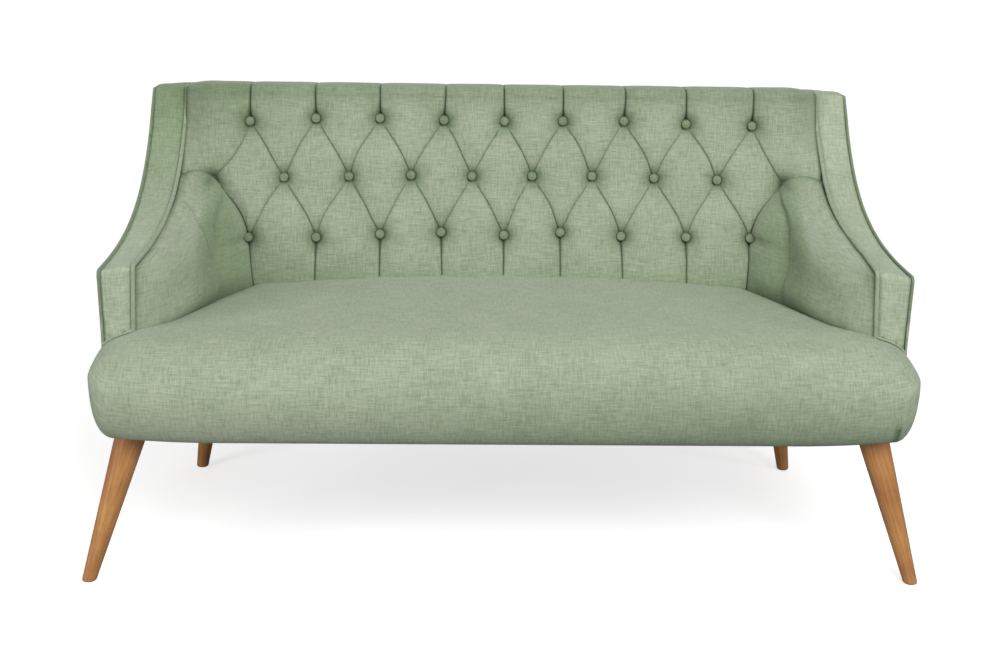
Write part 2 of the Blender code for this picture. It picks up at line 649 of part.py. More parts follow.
def arm_fold_gap():
    """How far the arm's edge lies behind the buttoning plane, and at what height, rising."""
    edge = arm_outline(SEAT_EDGE_Z)
    rising = edge[edge[:, 1] > ARM_KNEE_Z]
    return np.stack([rising[:, 0] - crease_y(rising[:, 1]), rising[:, 1]], axis=1)


def distance_to(points, start, end):
    """Distance over the leaning back from (X, Z) points to a straight pleat."""
    scale = np.array([1, 1 / math.cos(BACK_LEAN)])
    points, start, end = points * scale, np.array(start) * scale, np.array(end) * scale
    along = np.clip((points - start) @ (end - start) / ((end - start) @ (end - start)), 0, 1)
    return np.linalg.norm(points - start - along[..., None] * (end - start), axis=-1)


def pillow(points):
    """Height of the stuffing in front of the buttoning plane at (X, Z) points.

    It is nothing at a button, a third on a pleat halfway between two, and swells to the full
    height away from the pleats, as a quarter of a sine. Nothing swells behind the arm pads.
    """
    mirrored = np.stack([np.abs(points[..., 0]), points[..., 1]], axis=-1)
    fold = arm_fold()
    to_fold = np.min([distance_to(mirrored, a, b) for a, b in zip(fold[1:], fold[2:])], axis=0)
    edge_x = np.interp(mirrored[..., 1], [z for _, z in fold[:0:-1]], [x for x, _ in fold[:0:-1]])
    behind_arm = (mirrored[..., 0] >= edge_x) & (mirrored[..., 1] <= fold[1][1])
    to_pleat = np.min([to_fold] + [distance_to(points, a, b) for a, b in pleats()], axis=0)
    buttons = [(x, z) for _, x, z in button_places()]
    to_button = np.min([distance_to(points, place, (place[0], place[1] + GAP)) for place in buttons], axis=0)
    swell = np.sin(np.clip(to_pleat / PILLOW_REACH, 0, 1) * math.pi / 2) ** 0.9
    rise = np.clip(np.minimum(to_button, to_fold) / PILLOW_REACH, 0, 1)
    height = PILLOW_HEIGHT * (1 - (1 - swell) * (1 - PLEAT_RISE_share * rise))
    return np.where(behind_arm, 0.0, height)


def back_columns():
    """X of each column of points on the back: every sixth of a pitch, then out to the arm strips."""
    last = (2 * LAST_BUTTON + 1) * PLEAT_STEPS
    inner = tuft_x(np.arange(-last, last + 1) / 2 / PLEAT_STEPS)
    outer = [HIDDEN_TUFT_X + (PAD_EDGE_X - HIDDEN_TUFT_X) * share for share in (*EDGE_COLUMN_shares, 1.0)]
    return np.concatenate([-np.array(outer[::-1]), inner, outer])


def back_rows(x, bottom_z):
    """Z of each row of points up the back's front, for the column at x."""
    low, middle, top = np.array([LOW_ROW_Z, MIDDLE_ROW_Z, TOP_ROW_Z]) - droop(x)
    lower = [bottom_z + (low - bottom_z) * share for share in LOWER_ROW_shares]
    first = np.linspace(low, middle, PLEAT_STEPS + 1)[:-1]
    second = np.linspace(middle, top, PLEAT_STEPS + 1)
    front_top = BACK_TOP_Z - BACK_TOP_ROUNDING / 2
    upper = [top + (front_top - top) * share for share in UPPER_ROW_shares]
    return np.concatenate([lower, first, second, upper])


def back_surface():
    """Points of the tufted pad as columns, from the seat up its front, over its top and down its rear."""
    columns = back_columns()
    lowest_y = crease_y(SEAT_EDGE_Z) - PILLOW_HEIGHT
    bottoms = seat_top_z(columns, lowest_y) + SOFT_GAP
    z = np.array([back_rows(*place) for place in zip(columns, bottoms)])
    x = np.repeat(columns[:, None], z.shape[1], axis=1)
    height = pillow(np.stack([x, z], axis=-1))
    gap = arm_fold_gap()
    strip_y = crease_y(z) + np.interp(z, gap[:, 1], gap[:, 0])
    edge_y = np.clip(strip_y, crease_y(z), board_y(z) - BACK_EDGE_LEAST)
    past = np.clip((np.abs(x) - PAD_EDGE_X + BACK_EDGE_ROLL) / BACK_EDGE_ROLL, 0, 1)
    front_y = edge_y + (crease_y(z) - height - edge_y) * np.sqrt(1 - past**2)
    swell = height[:, -1] / PILLOW_HEIGHT
    places = [np.stack([x, front_y, z], axis=-1)]
    top_front = front_y[:, -1] + BACK_TOP_ROUNDING / 2
    for share, crown in zip(TOP_ROLL_shares, TOP_CROWN_shares):
        y = np.minimum(top_front + (rear_y(BACK_TOP_Z) - top_front) * share, rear_y(OUTSIDE_TOP_Z) - GAP)
        top = BACK_TOP_Z + BACK_TOP_CROWN * swell * crown
        places.append(np.stack([columns, y, top], axis=-1)[:, None])
    under = BOARD_TOP_Z + GAP
    rear = np.full(len(columns), rear_y(under) - GAP)
    places.append(np.stack([columns, rear, np.full(len(columns), under)], axis=-1)[:, None])
    board = np.full(len(columns), board_y(under))
    places.append(np.stack([columns, board, np.full(len(columns), under)], axis=-1)[:, None])
    places.append(np.stack([columns, board_y(bottoms), bottoms], axis=-1)[:, None])
    return np.concatenate(places, axis=1)


def back_pad(cloth):
    """The deep-buttoned pad, as one body whose front is split into triangles along its pleats."""
    grid = back_surface()
    count, size = grid.shape[:2]
    points = grid.reshape(-1, 3)
    front_rows = len(back_rows(0, SEAT_EDGE_Z)) - 1
    centres = (grid[:-1, :-1] + grid[1:, 1:]) / 2
    wanted_y = crease_y(centres[..., 2]) - pillow(centres[..., [0, 2]])
    faces = [tuple(range(size)), tuple(range((count - 1) * size, count * size))]
    for column in range(count - 1):
        for row in range(size):
            a, b = column * size + row, column * size + (row + 1) % size
            c, d = b + size, a + size
            if row >= front_rows:
                faces.append((a, d, c, b))
                continue
            rising = abs((points[a, 1] + points[c, 1]) / 2 - wanted_y[column, row])
            falling = abs((points[b, 1] + points[d, 1]) / 2 - wanted_y[column, row])
            faces += [(a, d, c), (a, c, b)] if rising <= falling else [(a, d, b), (d, c, b)]
    add("back_pad", closed_mesh("back_pad", points, faces, cloth, math.radians(60)))


def buttons(cloth):
    """Cloth-covered buttons, domed in front and drawn in behind, sunk where the pleats meet."""
    profile = [
        (BUTTON_SHANK_RADIUS, BUTTON_SHANK_SEAT),
        (BUTTON_RADIUS, BUTTON_RIM_SEAT),
        (BUTTON_RADIUS, BUTTON_RIM_SEAT + BUTTON_RIM),
        (BUTTON_RADIUS * BUTTON_DOME_share, BUTTON_RIM_SEAT + BUTTON_DOME),
    ]
    turn = np.arange(BUTTON_SIDES) / BUTTON_SIDES * 2 * math.pi
    points = [(r * math.cos(a), r * math.sin(a), height) for r, height in profile for a in turn]
    total = len(points)
    faces = [tuple(range(BUTTON_SIDES)), tuple(range(total - BUTTON_SIDES, total))]
    for first in range(0, total - BUTTON_SIDES, BUTTON_SIDES):
        for i in range(BUTTON_SIDES):
            j = (i + 1) % BUTTON_SIDES
            faces.append((first + i, first + j, first + BUTTON_SIDES + j, first + BUTTON_SIDES + i))
    mesh = closed_mesh("button", points, faces, cloth)
    counts = {}
    for row, x, z in button_places():
        counts[row] = counts.get(row, 0) + 1
        button = add(f"button_{row}_{counts[row]}", mesh)
        button.location = (x, crease_y(z), z)
        button.rotation_euler = (math.pi / 2 - BACK_LEAN, 0, 0)


def leg_axis(foot, top):
    """Unit direction from a leg's top down to its foot."""
    return Vector((foot[0] - top[0], foot[1] - top[1], -LEG_HEIGHT)).normalized()


def tilted_cylinder(name, top, direction, radius, length, above, material):
    """A round rod along a leg's axis, starting above the leg's top."""
    work = bmesh.new()
    bmesh.ops.create_cone(
        work, cap_ends=True, segments=BOLT_SIDES, radius1=radius, radius2=radius, depth=length + above
    )
    mesh = bpy.data.meshes.new(name)
    work.to_mesh(mesh)
    work.free()
    mesh.materials.append(material)
    rod = add(name, mesh)
    turn = direction.to_track_quat("Z", "Y").to_matrix().to_4x4()
    middle = Vector((*top, LEG_HEIGHT)) + direction * (length - above) / 2
    rod.matrix_world = Matrix.Translation(middle) @ turn
    rod.hide_render = True
    rod.display_type = "WIRE"
    return rod


def combine(target, tool, operation):
    """Adds a live Boolean of the tool on the target."""
    modifier = target.modifiers.new(tool.name, "BOOLEAN")
    modifier.operation = operation
    modifier.solver = "EXACT"
    modifier.object = tool


def leg(name, foot, top, wood):
    """A turned, tapered leg that leans outwards, with a blind bore for its bolt."""
    direction = leg_axis(foot, top)
    stretch = 1 / abs(direction.z)
    lean = Vector((foot[0] - top[0], foot[1] - top[1])).normalized()
    levels = [
        (0.0, LEG_FOOT_RADIUS - LEG_EDGE_RADIUS),
        (LEG_EDGE_RADIUS * LEG_EDGE_share, LEG_FOOT_RADIUS - LEG_EDGE_RADIUS * LEG_EDGE_share),
        (LEG_EDGE_RADIUS, LEG_FOOT_RADIUS),
        (LEG_HEIGHT, LEG_TOP_RADIUS),
    ]
    rings = []
    for z, radius in levels:
        centre = Vector(foot).lerp(Vector(top), z / LEG_HEIGHT)
        ring = []
        for turn in np.arange(LEG_SIDES) / LEG_SIDES * 2 * math.pi:
            across = Vector((math.cos(turn), math.sin(turn))) * radius
            across += lean * lean.dot(across) * (stretch - 1)
            ring.append((centre.x + across.x, centre.y + across.y, z))
        rings.append(ring)
    body = loft(name, rings, wood)
    radius, depth = BOLT_RADIUS + GAP, BOLT_LENGTH + GAP
    bore = tilted_cylinder(f"{name}_bore", top, direction, radius, depth, OVERRUN, wood)
    combine(body, bore, "DIFFERENCE")


def leg_plate(name, foot, top, middle, steel):
    """The square steel plate over a leg, with the bolt that the leg turns onto."""
    corner = PLATE_SIZE / 2 - PLATE_CORNER_RADIUS
    outline = []
    for turn, (x, y) in enumerate(((1, 1), (-1, 1), (-1, -1), (1, -1))):
        for angle in (np.linspace(0, 1, 3) + turn) * math.pi / 2:
            round_x = PLATE_CORNER_RADIUS * math.cos(angle)
            round_y = PLATE_CORNER_RADIUS * math.sin(angle)
            outline.append((middle[0] + x * corner + round_x, middle[1] + y * corner + round_y))
    low = LEG_HEIGHT + GAP
    plate = sheet(name, outline, low, low + PLATE_THICKNESS, steel)
    direction = leg_axis(foot, top)
    overlap = PLATE_THICKNESS / 2
    bolt = tilted_cylinder(f"{name}_bolt", top, direction, BOLT_RADIUS, BOLT_LENGTH, overlap, steel)
    combine(plate, bolt, "UNION")


def legs(wood, steel):
    """Four legs: the front pair stands wider than the seat, the rear pair further in."""
    front = (
        (HALF_WIDTH + FRONT_FOOT_SPLAY, FRONT_Y + FRONT_FOOT_SETBACK),
        (HALF_WIDTH - FRONT_TOP_INSET, FRONT_Y + FRONT_TOP_SETBACK),
        FRONT_PLATE,
    )
    rear = (
        (HALF_WIDTH - REAR_FOOT_INSET, REAR_Y - REAR_FOOT_SETBACK),
        (HALF_WIDTH - REAR_TOP_INSET, REAR_Y - REAR_TOP_SETBACK),
        REAR_PLATE,
    )
    for end, places in (("front", front), ("rear", rear)):
        for side, hand in ((-1, "left"), (1, "right")):
            foot, top, plate = [(side * x, y) for x, y in places]
            leg(f"leg_{end}_{hand}", foot, top, wood)
            leg_plate(f"leg_{end}_{hand}_plate", foot, top, plate, steel)


def build():
    for old in list(bpy.data.objects):
        bpy.data.objects.remove(old)
    sage_cloth = finish("sage_cloth", (0.33, 0.40, 0.26), 0.9)
    frame_beech = finish("frame_beech", (0.52, 0.36, 0.20), 0.7)
    board_ply = finish("board_ply", (0.50, 0.36, 0.22), 0.75)
    leg_beech = finish("leg_beech", (0.38, 0.18, 0.07), 0.4)
    spring_steel = finish("spring_steel", (0.45, 0.45, 0.46), 0.4, 1.0)
    black_cloth = finish("black_cloth", (0.02, 0.02, 0.02), 0.95)
    seat_frame(frame_beech)
    seat_springs(spring_steel)
    seat_pad(sage_cloth)
    dust_cover(black_cloth)
    arm_frames(board_ply)
    arm_pads(sage_cloth)
    arm_facings(sage_cloth)
    outside_arms(sage_cloth)
    back_frame(board_ply, frame_beech)
    back_pad(sage_cloth)
    buttons(sage_cloth)
    outside_back(sage_cloth)
    legs(leg_beech, spring_steel)


build()
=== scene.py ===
import math
from math import pi

import bpy
import numpy as np
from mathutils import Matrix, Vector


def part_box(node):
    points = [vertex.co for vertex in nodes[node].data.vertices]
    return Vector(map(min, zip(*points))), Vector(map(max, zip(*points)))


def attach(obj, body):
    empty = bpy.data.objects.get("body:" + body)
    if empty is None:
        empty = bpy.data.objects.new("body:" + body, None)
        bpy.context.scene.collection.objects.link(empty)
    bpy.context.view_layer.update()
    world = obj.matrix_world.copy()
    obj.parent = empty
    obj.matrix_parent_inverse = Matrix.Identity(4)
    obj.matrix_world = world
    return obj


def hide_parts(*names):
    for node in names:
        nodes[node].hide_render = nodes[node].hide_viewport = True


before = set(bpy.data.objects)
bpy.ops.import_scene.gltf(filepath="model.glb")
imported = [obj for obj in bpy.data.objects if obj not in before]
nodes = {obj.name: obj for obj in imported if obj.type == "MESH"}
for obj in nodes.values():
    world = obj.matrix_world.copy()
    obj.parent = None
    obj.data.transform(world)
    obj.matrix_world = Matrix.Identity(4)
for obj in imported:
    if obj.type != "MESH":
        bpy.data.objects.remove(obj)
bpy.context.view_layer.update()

# Seat frame and arm frames
#
# Beech rails are glued and screwed into a box, plywood panels stand at its two sides, and a
# plywood board leans across the back. Covers and filling hide nearly all of it.


class Value:
    """A shader value: plus, minus and times on it make Math nodes."""

    def __init__(self, tree, socket):
        self.tree, self.socket = tree, socket

    def math(self, operation, *others):
        """The output of one Math node."""
        numbered = {f"i{place}": value for place, value in enumerate((self, *others))}
        return shader_value(self.tree, "Math", settings={"operation": operation}, **numbered)

    def ranged(self, low, high, settings=None, **inputs):
        """The value rescaled, so that it runs from low to high."""
        return shader_value(self.tree, "MapRange", 0, settings, Value=self, To_Min=low, To_Max=high, **inputs)

    def __add__(self, other):
        return self.math("ADD", other)

    def __sub__(self, other):
        return self.math("SUBTRACT", other)

    def __mul__(self, other):
        return self.math("MULTIPLY", other)


def set_inputs(tree, node, **inputs):
    """Sets inputs, each given by its name or by i and its number, to a plain value or a shader value."""
    for key, value in inputs.items():
        socket = node.inputs[int(key[1:]) if key[1:].isdigit() else key.replace("_", " ")]
        if isinstance(value, Value):
            tree.links.new(value.socket, socket)
        else:
            socket.default_value = value


def shader_value(tree, kind, output=0, settings=None, **inputs):
    """One output of a new shader node."""
    node = tree.nodes.new("ShaderNode" + kind)
    for key, value in (settings or {}).items():
        setattr(node, key, value)
    set_inputs(tree, node, **inputs)
    return Value(tree, node.outputs[output])


def stretched(places, scale, **inputs):
    """Places multiplied by a scale for each axis."""
    return shader_value(places.tree, "Mapping", Vector=places, Scale=scale, **inputs)


def noise(places, detail, scale=1.0, output="Fac", settings=None, **inputs):
    """A noise texture at these places."""
    return shader_value(places.tree, "TexNoise", output, settings, Vector=places, Scale=scale, Detail=detail, **inputs)


def colour_ramp(value, *stops):
    """A colour by value. Each stop is a position and a colour."""
    made = shader_value(value.tree, "ValToRGB", Fac=value)
    elements = made.socket.node.color_ramp.elements
    for _ in stops[2:]:
        elements.new(0.5)
    for element, (position, colour) in zip(elements, stops):
        element.position, element.color = position, (*colour, 1)
    return made


def new_finish(name):
    """A material with its node tree and its Principled shader."""
    made = bpy.data.materials.new(name)
    made.use_nodes = True
    return made, made.node_tree, made.node_tree.nodes["Principled BSDF"]


def completed(finish, height, strength, distance, **inputs):
    """The material, with its shader's inputs set and a height turned into fine relief."""
    made, tree, principled = finish
    bump = shader_value(tree, "Bump", Height=height, Strength=strength, Distance=distance)
    set_inputs(tree, principled, Normal=bump, **inputs)
    return made


def grained(name, stretch, dark, pale, span, rough, relief, metallic=0.0, **texture):
    """A material whose tone, roughness and relief follow one noise, drawn out by stretch.

    span gives the noise's values for dark and pale, rough those of the roughness, and relief the
    strength and the height of the bumps.
    """
    finish = new_finish(name)
    grain = noise(stretched(shader_value(finish[1], "TexCoord", "Object"), stretch), **texture)
    tone = colour_ramp(grain, (span[0], dark), (span[1], pale))
    return completed(finish, grain, *relief, Base_Color=tone, Roughness=grain.ranged(*rough), Metallic=metallic)


def paint(finish, *names):
    """Gives CAD pieces this finish in place of their plain one."""
    for name in names:
        nodes[name].data.materials.clear()
        nodes[name].data.materials.append(finish)


BEECH = (0.42, 0.27, 0.14), (0.60, 0.42, 0.24)
PLY = (0.45, 0.31, 0.17), (0.60, 0.44, 0.27)
SAWN = {"span": (0.3, 0.7), "rough": (0.75, 0.75), "relief": (0.4, 0.0005), "detail": 5.0, "Roughness": 0.6}

beech_along = grained("beech_along_the_sofa", (9, 160, 160), *BEECH, **SAWN)
beech_across = grained("beech_front_to_back", (160, 9, 160), *BEECH, **SAWN)
plywood = grained("plywood_panel", (60, 14, 60), *PLY, **SAWN)
paint(beech_along, "seat_front_rail", "seat_rear_rail", "back_top_rail", "back_lower_rail")
paint(beech_across, "seat_side_rail_left", "seat_side_rail_right", "seat_centre_stretcher")
paint(plywood, "arm_frame_left", "arm_frame_right", "back_board")

# Springs and leg plates
#
# Zigzag springs of blued steel wire run from the front rail to the rear rail under the filling.
# Each leg turns onto a bolt in a square pressed plate under the frame's corner.

ZINC = (0.5, 0.5, 0.51)

steel = grained(
    "zinc_plated_steel", (220, 220, 220), ZINC, ZINC,
    span=(0, 1), rough=(0.28, 0.5), relief=(0.15, 0.0002), metallic=1.0, detail=3.0,
)
paint(steel, *[name for name in nodes if "spring" in name or "plate" in name])

# Dust cover
#
# Thin black nonwoven cloth closes the underside. It is tacked to the rails with wire staples and
# cut away at the four corners, where the leg plates go.

NONWOVEN = (0.012, 0.012, 0.013), (0.035, 0.035, 0.037)

black_cloth = grained(
    "black_nonwoven", (900, 900, 900), *NONWOVEN, span=(0, 1), rough=(0.95, 0.95), relief=(0.5, 0.0003), detail=4.0,
)
paint(black_cloth, "dust_cover")

# Legs
#
# Four beech legs are turned to a straight taper, lean outwards, and are stained and lacquered to a
# satin mid brown. Their feet are eased and cut level with the floor.

LEG_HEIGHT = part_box("leg_front_left")[1].z
LEG_TOP_RADIUS = 0.0255
LEG_FOOT_RADIUS = 0.0112
LEG_EDGE_RADIUS = 0.0045
FRONT_FOOT, FRONT_TOP = (0.6815, -0.270), (0.6025, -0.243)  # X and Y on the right
REAR_FOOT, REAR_TOP = (0.581, 0.280), (0.537, 0.250)
RIGHT_REAR_SHIFT = 0.0055  # the right rear leg stands this much further in
SIDES = (-1, "left"), (1, "right")


def stacked(*values):
    """Values side by side along a new last direction, each first spread to their common shape."""
    return np.stack(np.broadcast_arrays(*values), axis=-1)


def surface(name, points, uv, split=None, painted_shade=None, flipped=False):
    """A mesh over a grid of points, which faces the other way if flipped.

    The grid's second direction is closed into a ring, and the two end rings are capped. uv has one
    more place than the grid in that direction, so a pattern meets itself. A cell whose split is 1 or
    2 is cut into triangles along its rising or falling diagonal. The painted shade, kept for each
    point as an attribute, darkens the cloth there: 0 not at all, 1 the most.
    """
    if flipped:
        points, uv, painted_shade = [part if part is None else part[:, ::-1] for part in (points, uv, painted_shade)]
    index = np.arange(points[..., 0].size).reshape(points.shape[:2])
    faces, corners = [
        np.stack([grid[:-1, :-1], grid[:-1, 1:], grid[1:, 1:], grid[1:, :-1]], axis=2).reshape(-1, 4, *grid.shape[2:])
        for grid in (np.hstack([index, index[:, :1]]), uv)
    ]
    split = np.zeros(len(faces), int) if split is None else split.ravel()
    cuts = (0, [0, 1, 2, 3]), (1, [0, 1, 2]), (1, [0, 2, 3]), (2, [0, 1, 3]), (2, [1, 2, 3])
    face_list = [face for way, taken in cuts for face in faces[split == way][:, taken].tolist()]
    face_list += [index[0, ::-1].tolist(), index[-1].tolist()]
    corner_list = [corners[split == way][:, taken].reshape(-1, 2) for way, taken in cuts] + [uv[0, -2::-1], uv[-1, :-1]]
    mesh = bpy.data.meshes.new(name)
    mesh.from_pydata(points.reshape(-1, 3).tolist(), [], face_list)
    mesh.uv_layers.new(name="cut").data.foreach_set("uv", np.concatenate(corner_list).astype(np.float32).ravel())
    # Painted shade, kept on the points for the cloth's material to darken it by.
    if painted_shade is not None:
        mesh.attributes.new("painted_shade", "FLOAT", "POINT").data.foreach_set("value", painted_shade.astype(np.float32).ravel())
    mesh.shade_smooth()
    made = bpy.data.objects.new(name, mesh)
    bpy.context.scene.collection.objects.link(made)
    return made


def dress(piece, finish, slot, *replaced):
    """Gives a finished piece its material and its body, and hides the CAD nodes that it stands for."""
    piece.data.materials.append(finish)
    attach(piece, "root")
    if replaced:
        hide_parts(*replaced)
    return piece


def turned_leg(name, foot, top, twist):
    """A leg as rings from foot to top.

    The radius follows a quarter circle round the foot's edge, and then grows evenly to the top.
    Each ring lies level and is stretched along the lean, so that across the axis it is round. The
    wood's own places, grain, run straight up the leg and are turned by twist.
    """
    edge = np.linspace(0, pi / 2, 7)
    level = np.hstack([LEG_EDGE_RADIUS * (1 - np.cos(edge)), np.linspace(LEG_EDGE_RADIUS, LEG_HEIGHT, 60)[1:]])
    level = level[:, None]
    radius = LEG_FOOT_RADIUS + (LEG_TOP_RADIUS - LEG_FOOT_RADIUS) * level / LEG_HEIGHT
    radius[:7, 0] -= LEG_EDGE_RADIUS * (1 - np.sin(edge))
    lean = np.subtract(top, foot)
    along = lean / math.hypot(*lean)
    stretch = math.hypot(*lean, LEG_HEIGHT) / LEG_HEIGHT
    turn = np.linspace(0, 2 * pi, 65)
    ring = stacked(np.cos(turn), np.sin(turn))
    ring = ring + (ring @ along)[:, None] * along * (stretch - 1)
    places = (foot + level / LEG_HEIGHT * lean)[:, None] + ring * radius[..., None]
    points = stacked(places[..., 0], places[..., 1], level)
    made = surface(name, points[:, :-1], stacked(turn * LEG_TOP_RADIUS, level * stretch))
    turned = turn[:-1] + twist
    grain = stacked(radius * np.cos(turned), radius * np.sin(turned), level * stretch + twist)
    drawn = made.data.attributes.new("grain", "FLOAT_VECTOR", "POINT")
    drawn.data.foreach_set("vector", grain.astype(np.float32).ravel())
    return made


def lacquered_beech(name, dark, pale):
    """Stained beech: wandering growth rings, long streaks and the short dark flecks of its rays."""
    finish = new_finish(name)
    grain = shader_value(finish[1], "Attribute", "Vector", {"attribute_name": "grain"})
    rings = shader_value(
        finish[1], "TexWave", "Fac", {"wave_type": "RINGS", "rings_direction": "Z"},
        Vector=stretched(grain, (1, 1, 0.06), Location=(0.02, 0.035, 0)),
        Scale=55.0, Distortion=5.0, Detail=2.0, Detail_Scale=1.5,
    )
    streaks = noise(stretched(grain, (420, 420, 14)), detail=4.0, Roughness=0.6)
    flecks = noise(stretched(grain, (1500, 1500, 190)), detail=1.0).ranged(0.0, 1.0, From_Min=0.60, From_Max=0.72)
    cloud = noise(grain, detail=2.0, scale=18.0)
    mixed = rings * 0.12 + streaks * 0.5 + cloud * 0.50 - flecks * 0.16
    return completed(
        finish, mixed, 0.25, 0.0004, Base_Color=colour_ramp(mixed, (0.34, dark), (0.80, pale)),
        Roughness=streaks.ranged(0.34, 0.5), Coat_Weight=0.25, Coat_Roughness=0.25,
    )


leg_wood = lacquered_beech("lacquered_beech", (0.33, 0.135, 0.040), (0.60, 0.290, 0.094))
for side, hand in SIDES:
    shift = RIGHT_REAR_SHIFT if side > 0 else 0
    ends = ("front", FRONT_FOOT, FRONT_TOP, 0, 0.4), ("rear", REAR_FOOT, REAR_TOP, shift, 2.9)
    for end, foot, top, moved, twist in ends:
        foot, top = (side * foot[0] - moved, foot[1]), (side * top[0] - moved, top[1])
        leg = turned_leg(f"turned_leg_{end}_{hand}", foot, top, twist + side)
        dress(leg, leg_wood, "leg_beech", f"leg_{end}_{hand}")

# Seat
#
# The tight seat is foam and wadding over the springs. One cover of sage green linen-look cloth is
# pulled over it and round a full front roll, which runs past both arms and has closed ends.

HALF_WIDTH = 0.650
DEPTH = 0.720
SEAT_UNDERSIDE_Z = 0.256
SEAT_EDGE_Z = 0.412
SEAT_CROWN = 0.016
SEAT_SUPPORT_Z = 0.3455
SEAT_REAR_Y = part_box("seat_pad")[1].y
SEAT_END_RADIUS = 0.031
SEAT_END_DOME = 0.0045
SEAT_END_CENTRE = (-0.30, 0.335)  # Y and Z
SEAT_SEAM_X = 0.6190
NOSE_LOWER_LENGTH = 0.050
NOSE_UPPER_LENGTH = 0.105
NOSE_LOWER_HEIGHT = 0.078
ARM_FRONT_Y = -0.233
INSIDE_X = 0.6044  # inner faces of the arm frames
PAD_EDGE_X = 0.5812  # inner side of the inner welts
INNER_WELT_X = 0.585
UNDER_ARM_Z = 0.2623
FRONT_RAIL_Y = -0.2703
JUNCTION = ((-0.195, PAD_EDGE_X + 0.006), (0.122, 0.4560))  # (Y, X) where the arm pads meet the seat
THREAD = 0.00105  # spacing of the cloth's threads


def ramp(value, start, end):
    """Share of the way from start to end, held between 0 and 1."""
    return np.clip((value - start) / (end - start), 0, 1)


def peak(distance, width):
    """One at no distance, falling off to both sides as a bell curve."""
    return np.exp(-((distance / width) ** 2))


def fade(distance, width):
    """One up to no distance, falling off beyond it as an exponential."""
    return np.exp(-np.clip(distance, 0, None) / width)


def layered(*shades):
    """Shades laid over each other: what is left open is the product of what each leaves open."""
    return 1 - math.prod(1 - shade for shade in shades)


def gentle(a, b, wavelength, seed):
    """Smooth unevenness of about plus or minus one: the mean of nine sine waves in seeded directions."""
    chance = np.random.default_rng(seed)
    total = 0
    for turn, phase, length in chance.uniform((0, 0, 0.7), (pi, 2 * pi, 1.5), (9, 3)):
        total = total + np.sin((a * math.cos(turn) + b * math.sin(turn)) * 2 * pi / wavelength / length + phase)
    return total / 4.5


def run_length(path):
    """Distance from the start along a path, or along every column of a grid of points."""
    steps = np.linalg.norm(np.diff(path, axis=0), axis=-1)
    return np.concatenate([0 * steps[:1], np.cumsum(steps, axis=0)])


def end_inset(x):
    """How far the seat's section draws in at X: a quarter circle at each end."""
    past = np.clip(np.abs(x) - HALF_WIDTH + SEAT_END_RADIUS, 0, SEAT_END_RADIUS)
    return SEAT_END_RADIUS - np.sqrt(SEAT_END_RADIUS**2 - past**2)


def shoulder(x):
    """How much the seat stands up beside the strips' inner welts."""
    return 0.0055 * peak(np.abs(x) - INNER_WELT_X, 0.045)


def end_sink(x):
    """How far the seat's top falls at X: evenly under the arms' strips and round the ends, less the shoulder."""
    return 0.40 * end_inset(x) + 0.0150 * ramp(np.abs(x), 0.588, 0.648) - shoulder(x)


def junction_x(y):
    """Half the seat's open width at Y: it narrows evenly from the arms' fronts to the back."""
    return np.interp(y, *zip(*JUNCTION))


def seat_shade(x, y, z, seam):
    """Painted shade on the seat's cover: beside the arms and strips, before the back, below the roll and in the seam.
    """
    beside = np.where(y > ARM_FRONT_Y, junction_x(y) - np.abs(x), 1)
    arms = 0.60 * fade(beside, 0.007 + 0.010 * ramp(y, -0.15, 0.05)) * ramp(y, -0.20, -0.08)
    strips = 0.55 * fade(np.abs(y - ARM_FRONT_Y + 0.002), 0.0018) * (np.abs(x) > INNER_WELT_X)
    below = ramp(z, SEAT_UNDERSIDE_Z + 0.15, SEAT_UNDERSIDE_Z + 0.01) ** (0.65 + 0.85 * ramp(x, 0.42, 0.54))
    # Painted shade below the roll: none towards the left end, growing to full towards the right.
    under = 0.30 * below * np.clip(0.55 + 1.5 * x, 0, 1)
    return layered(arms, strips, under, 0.30 * fade(0.142 - y, 0.006), 0.85 * seam)


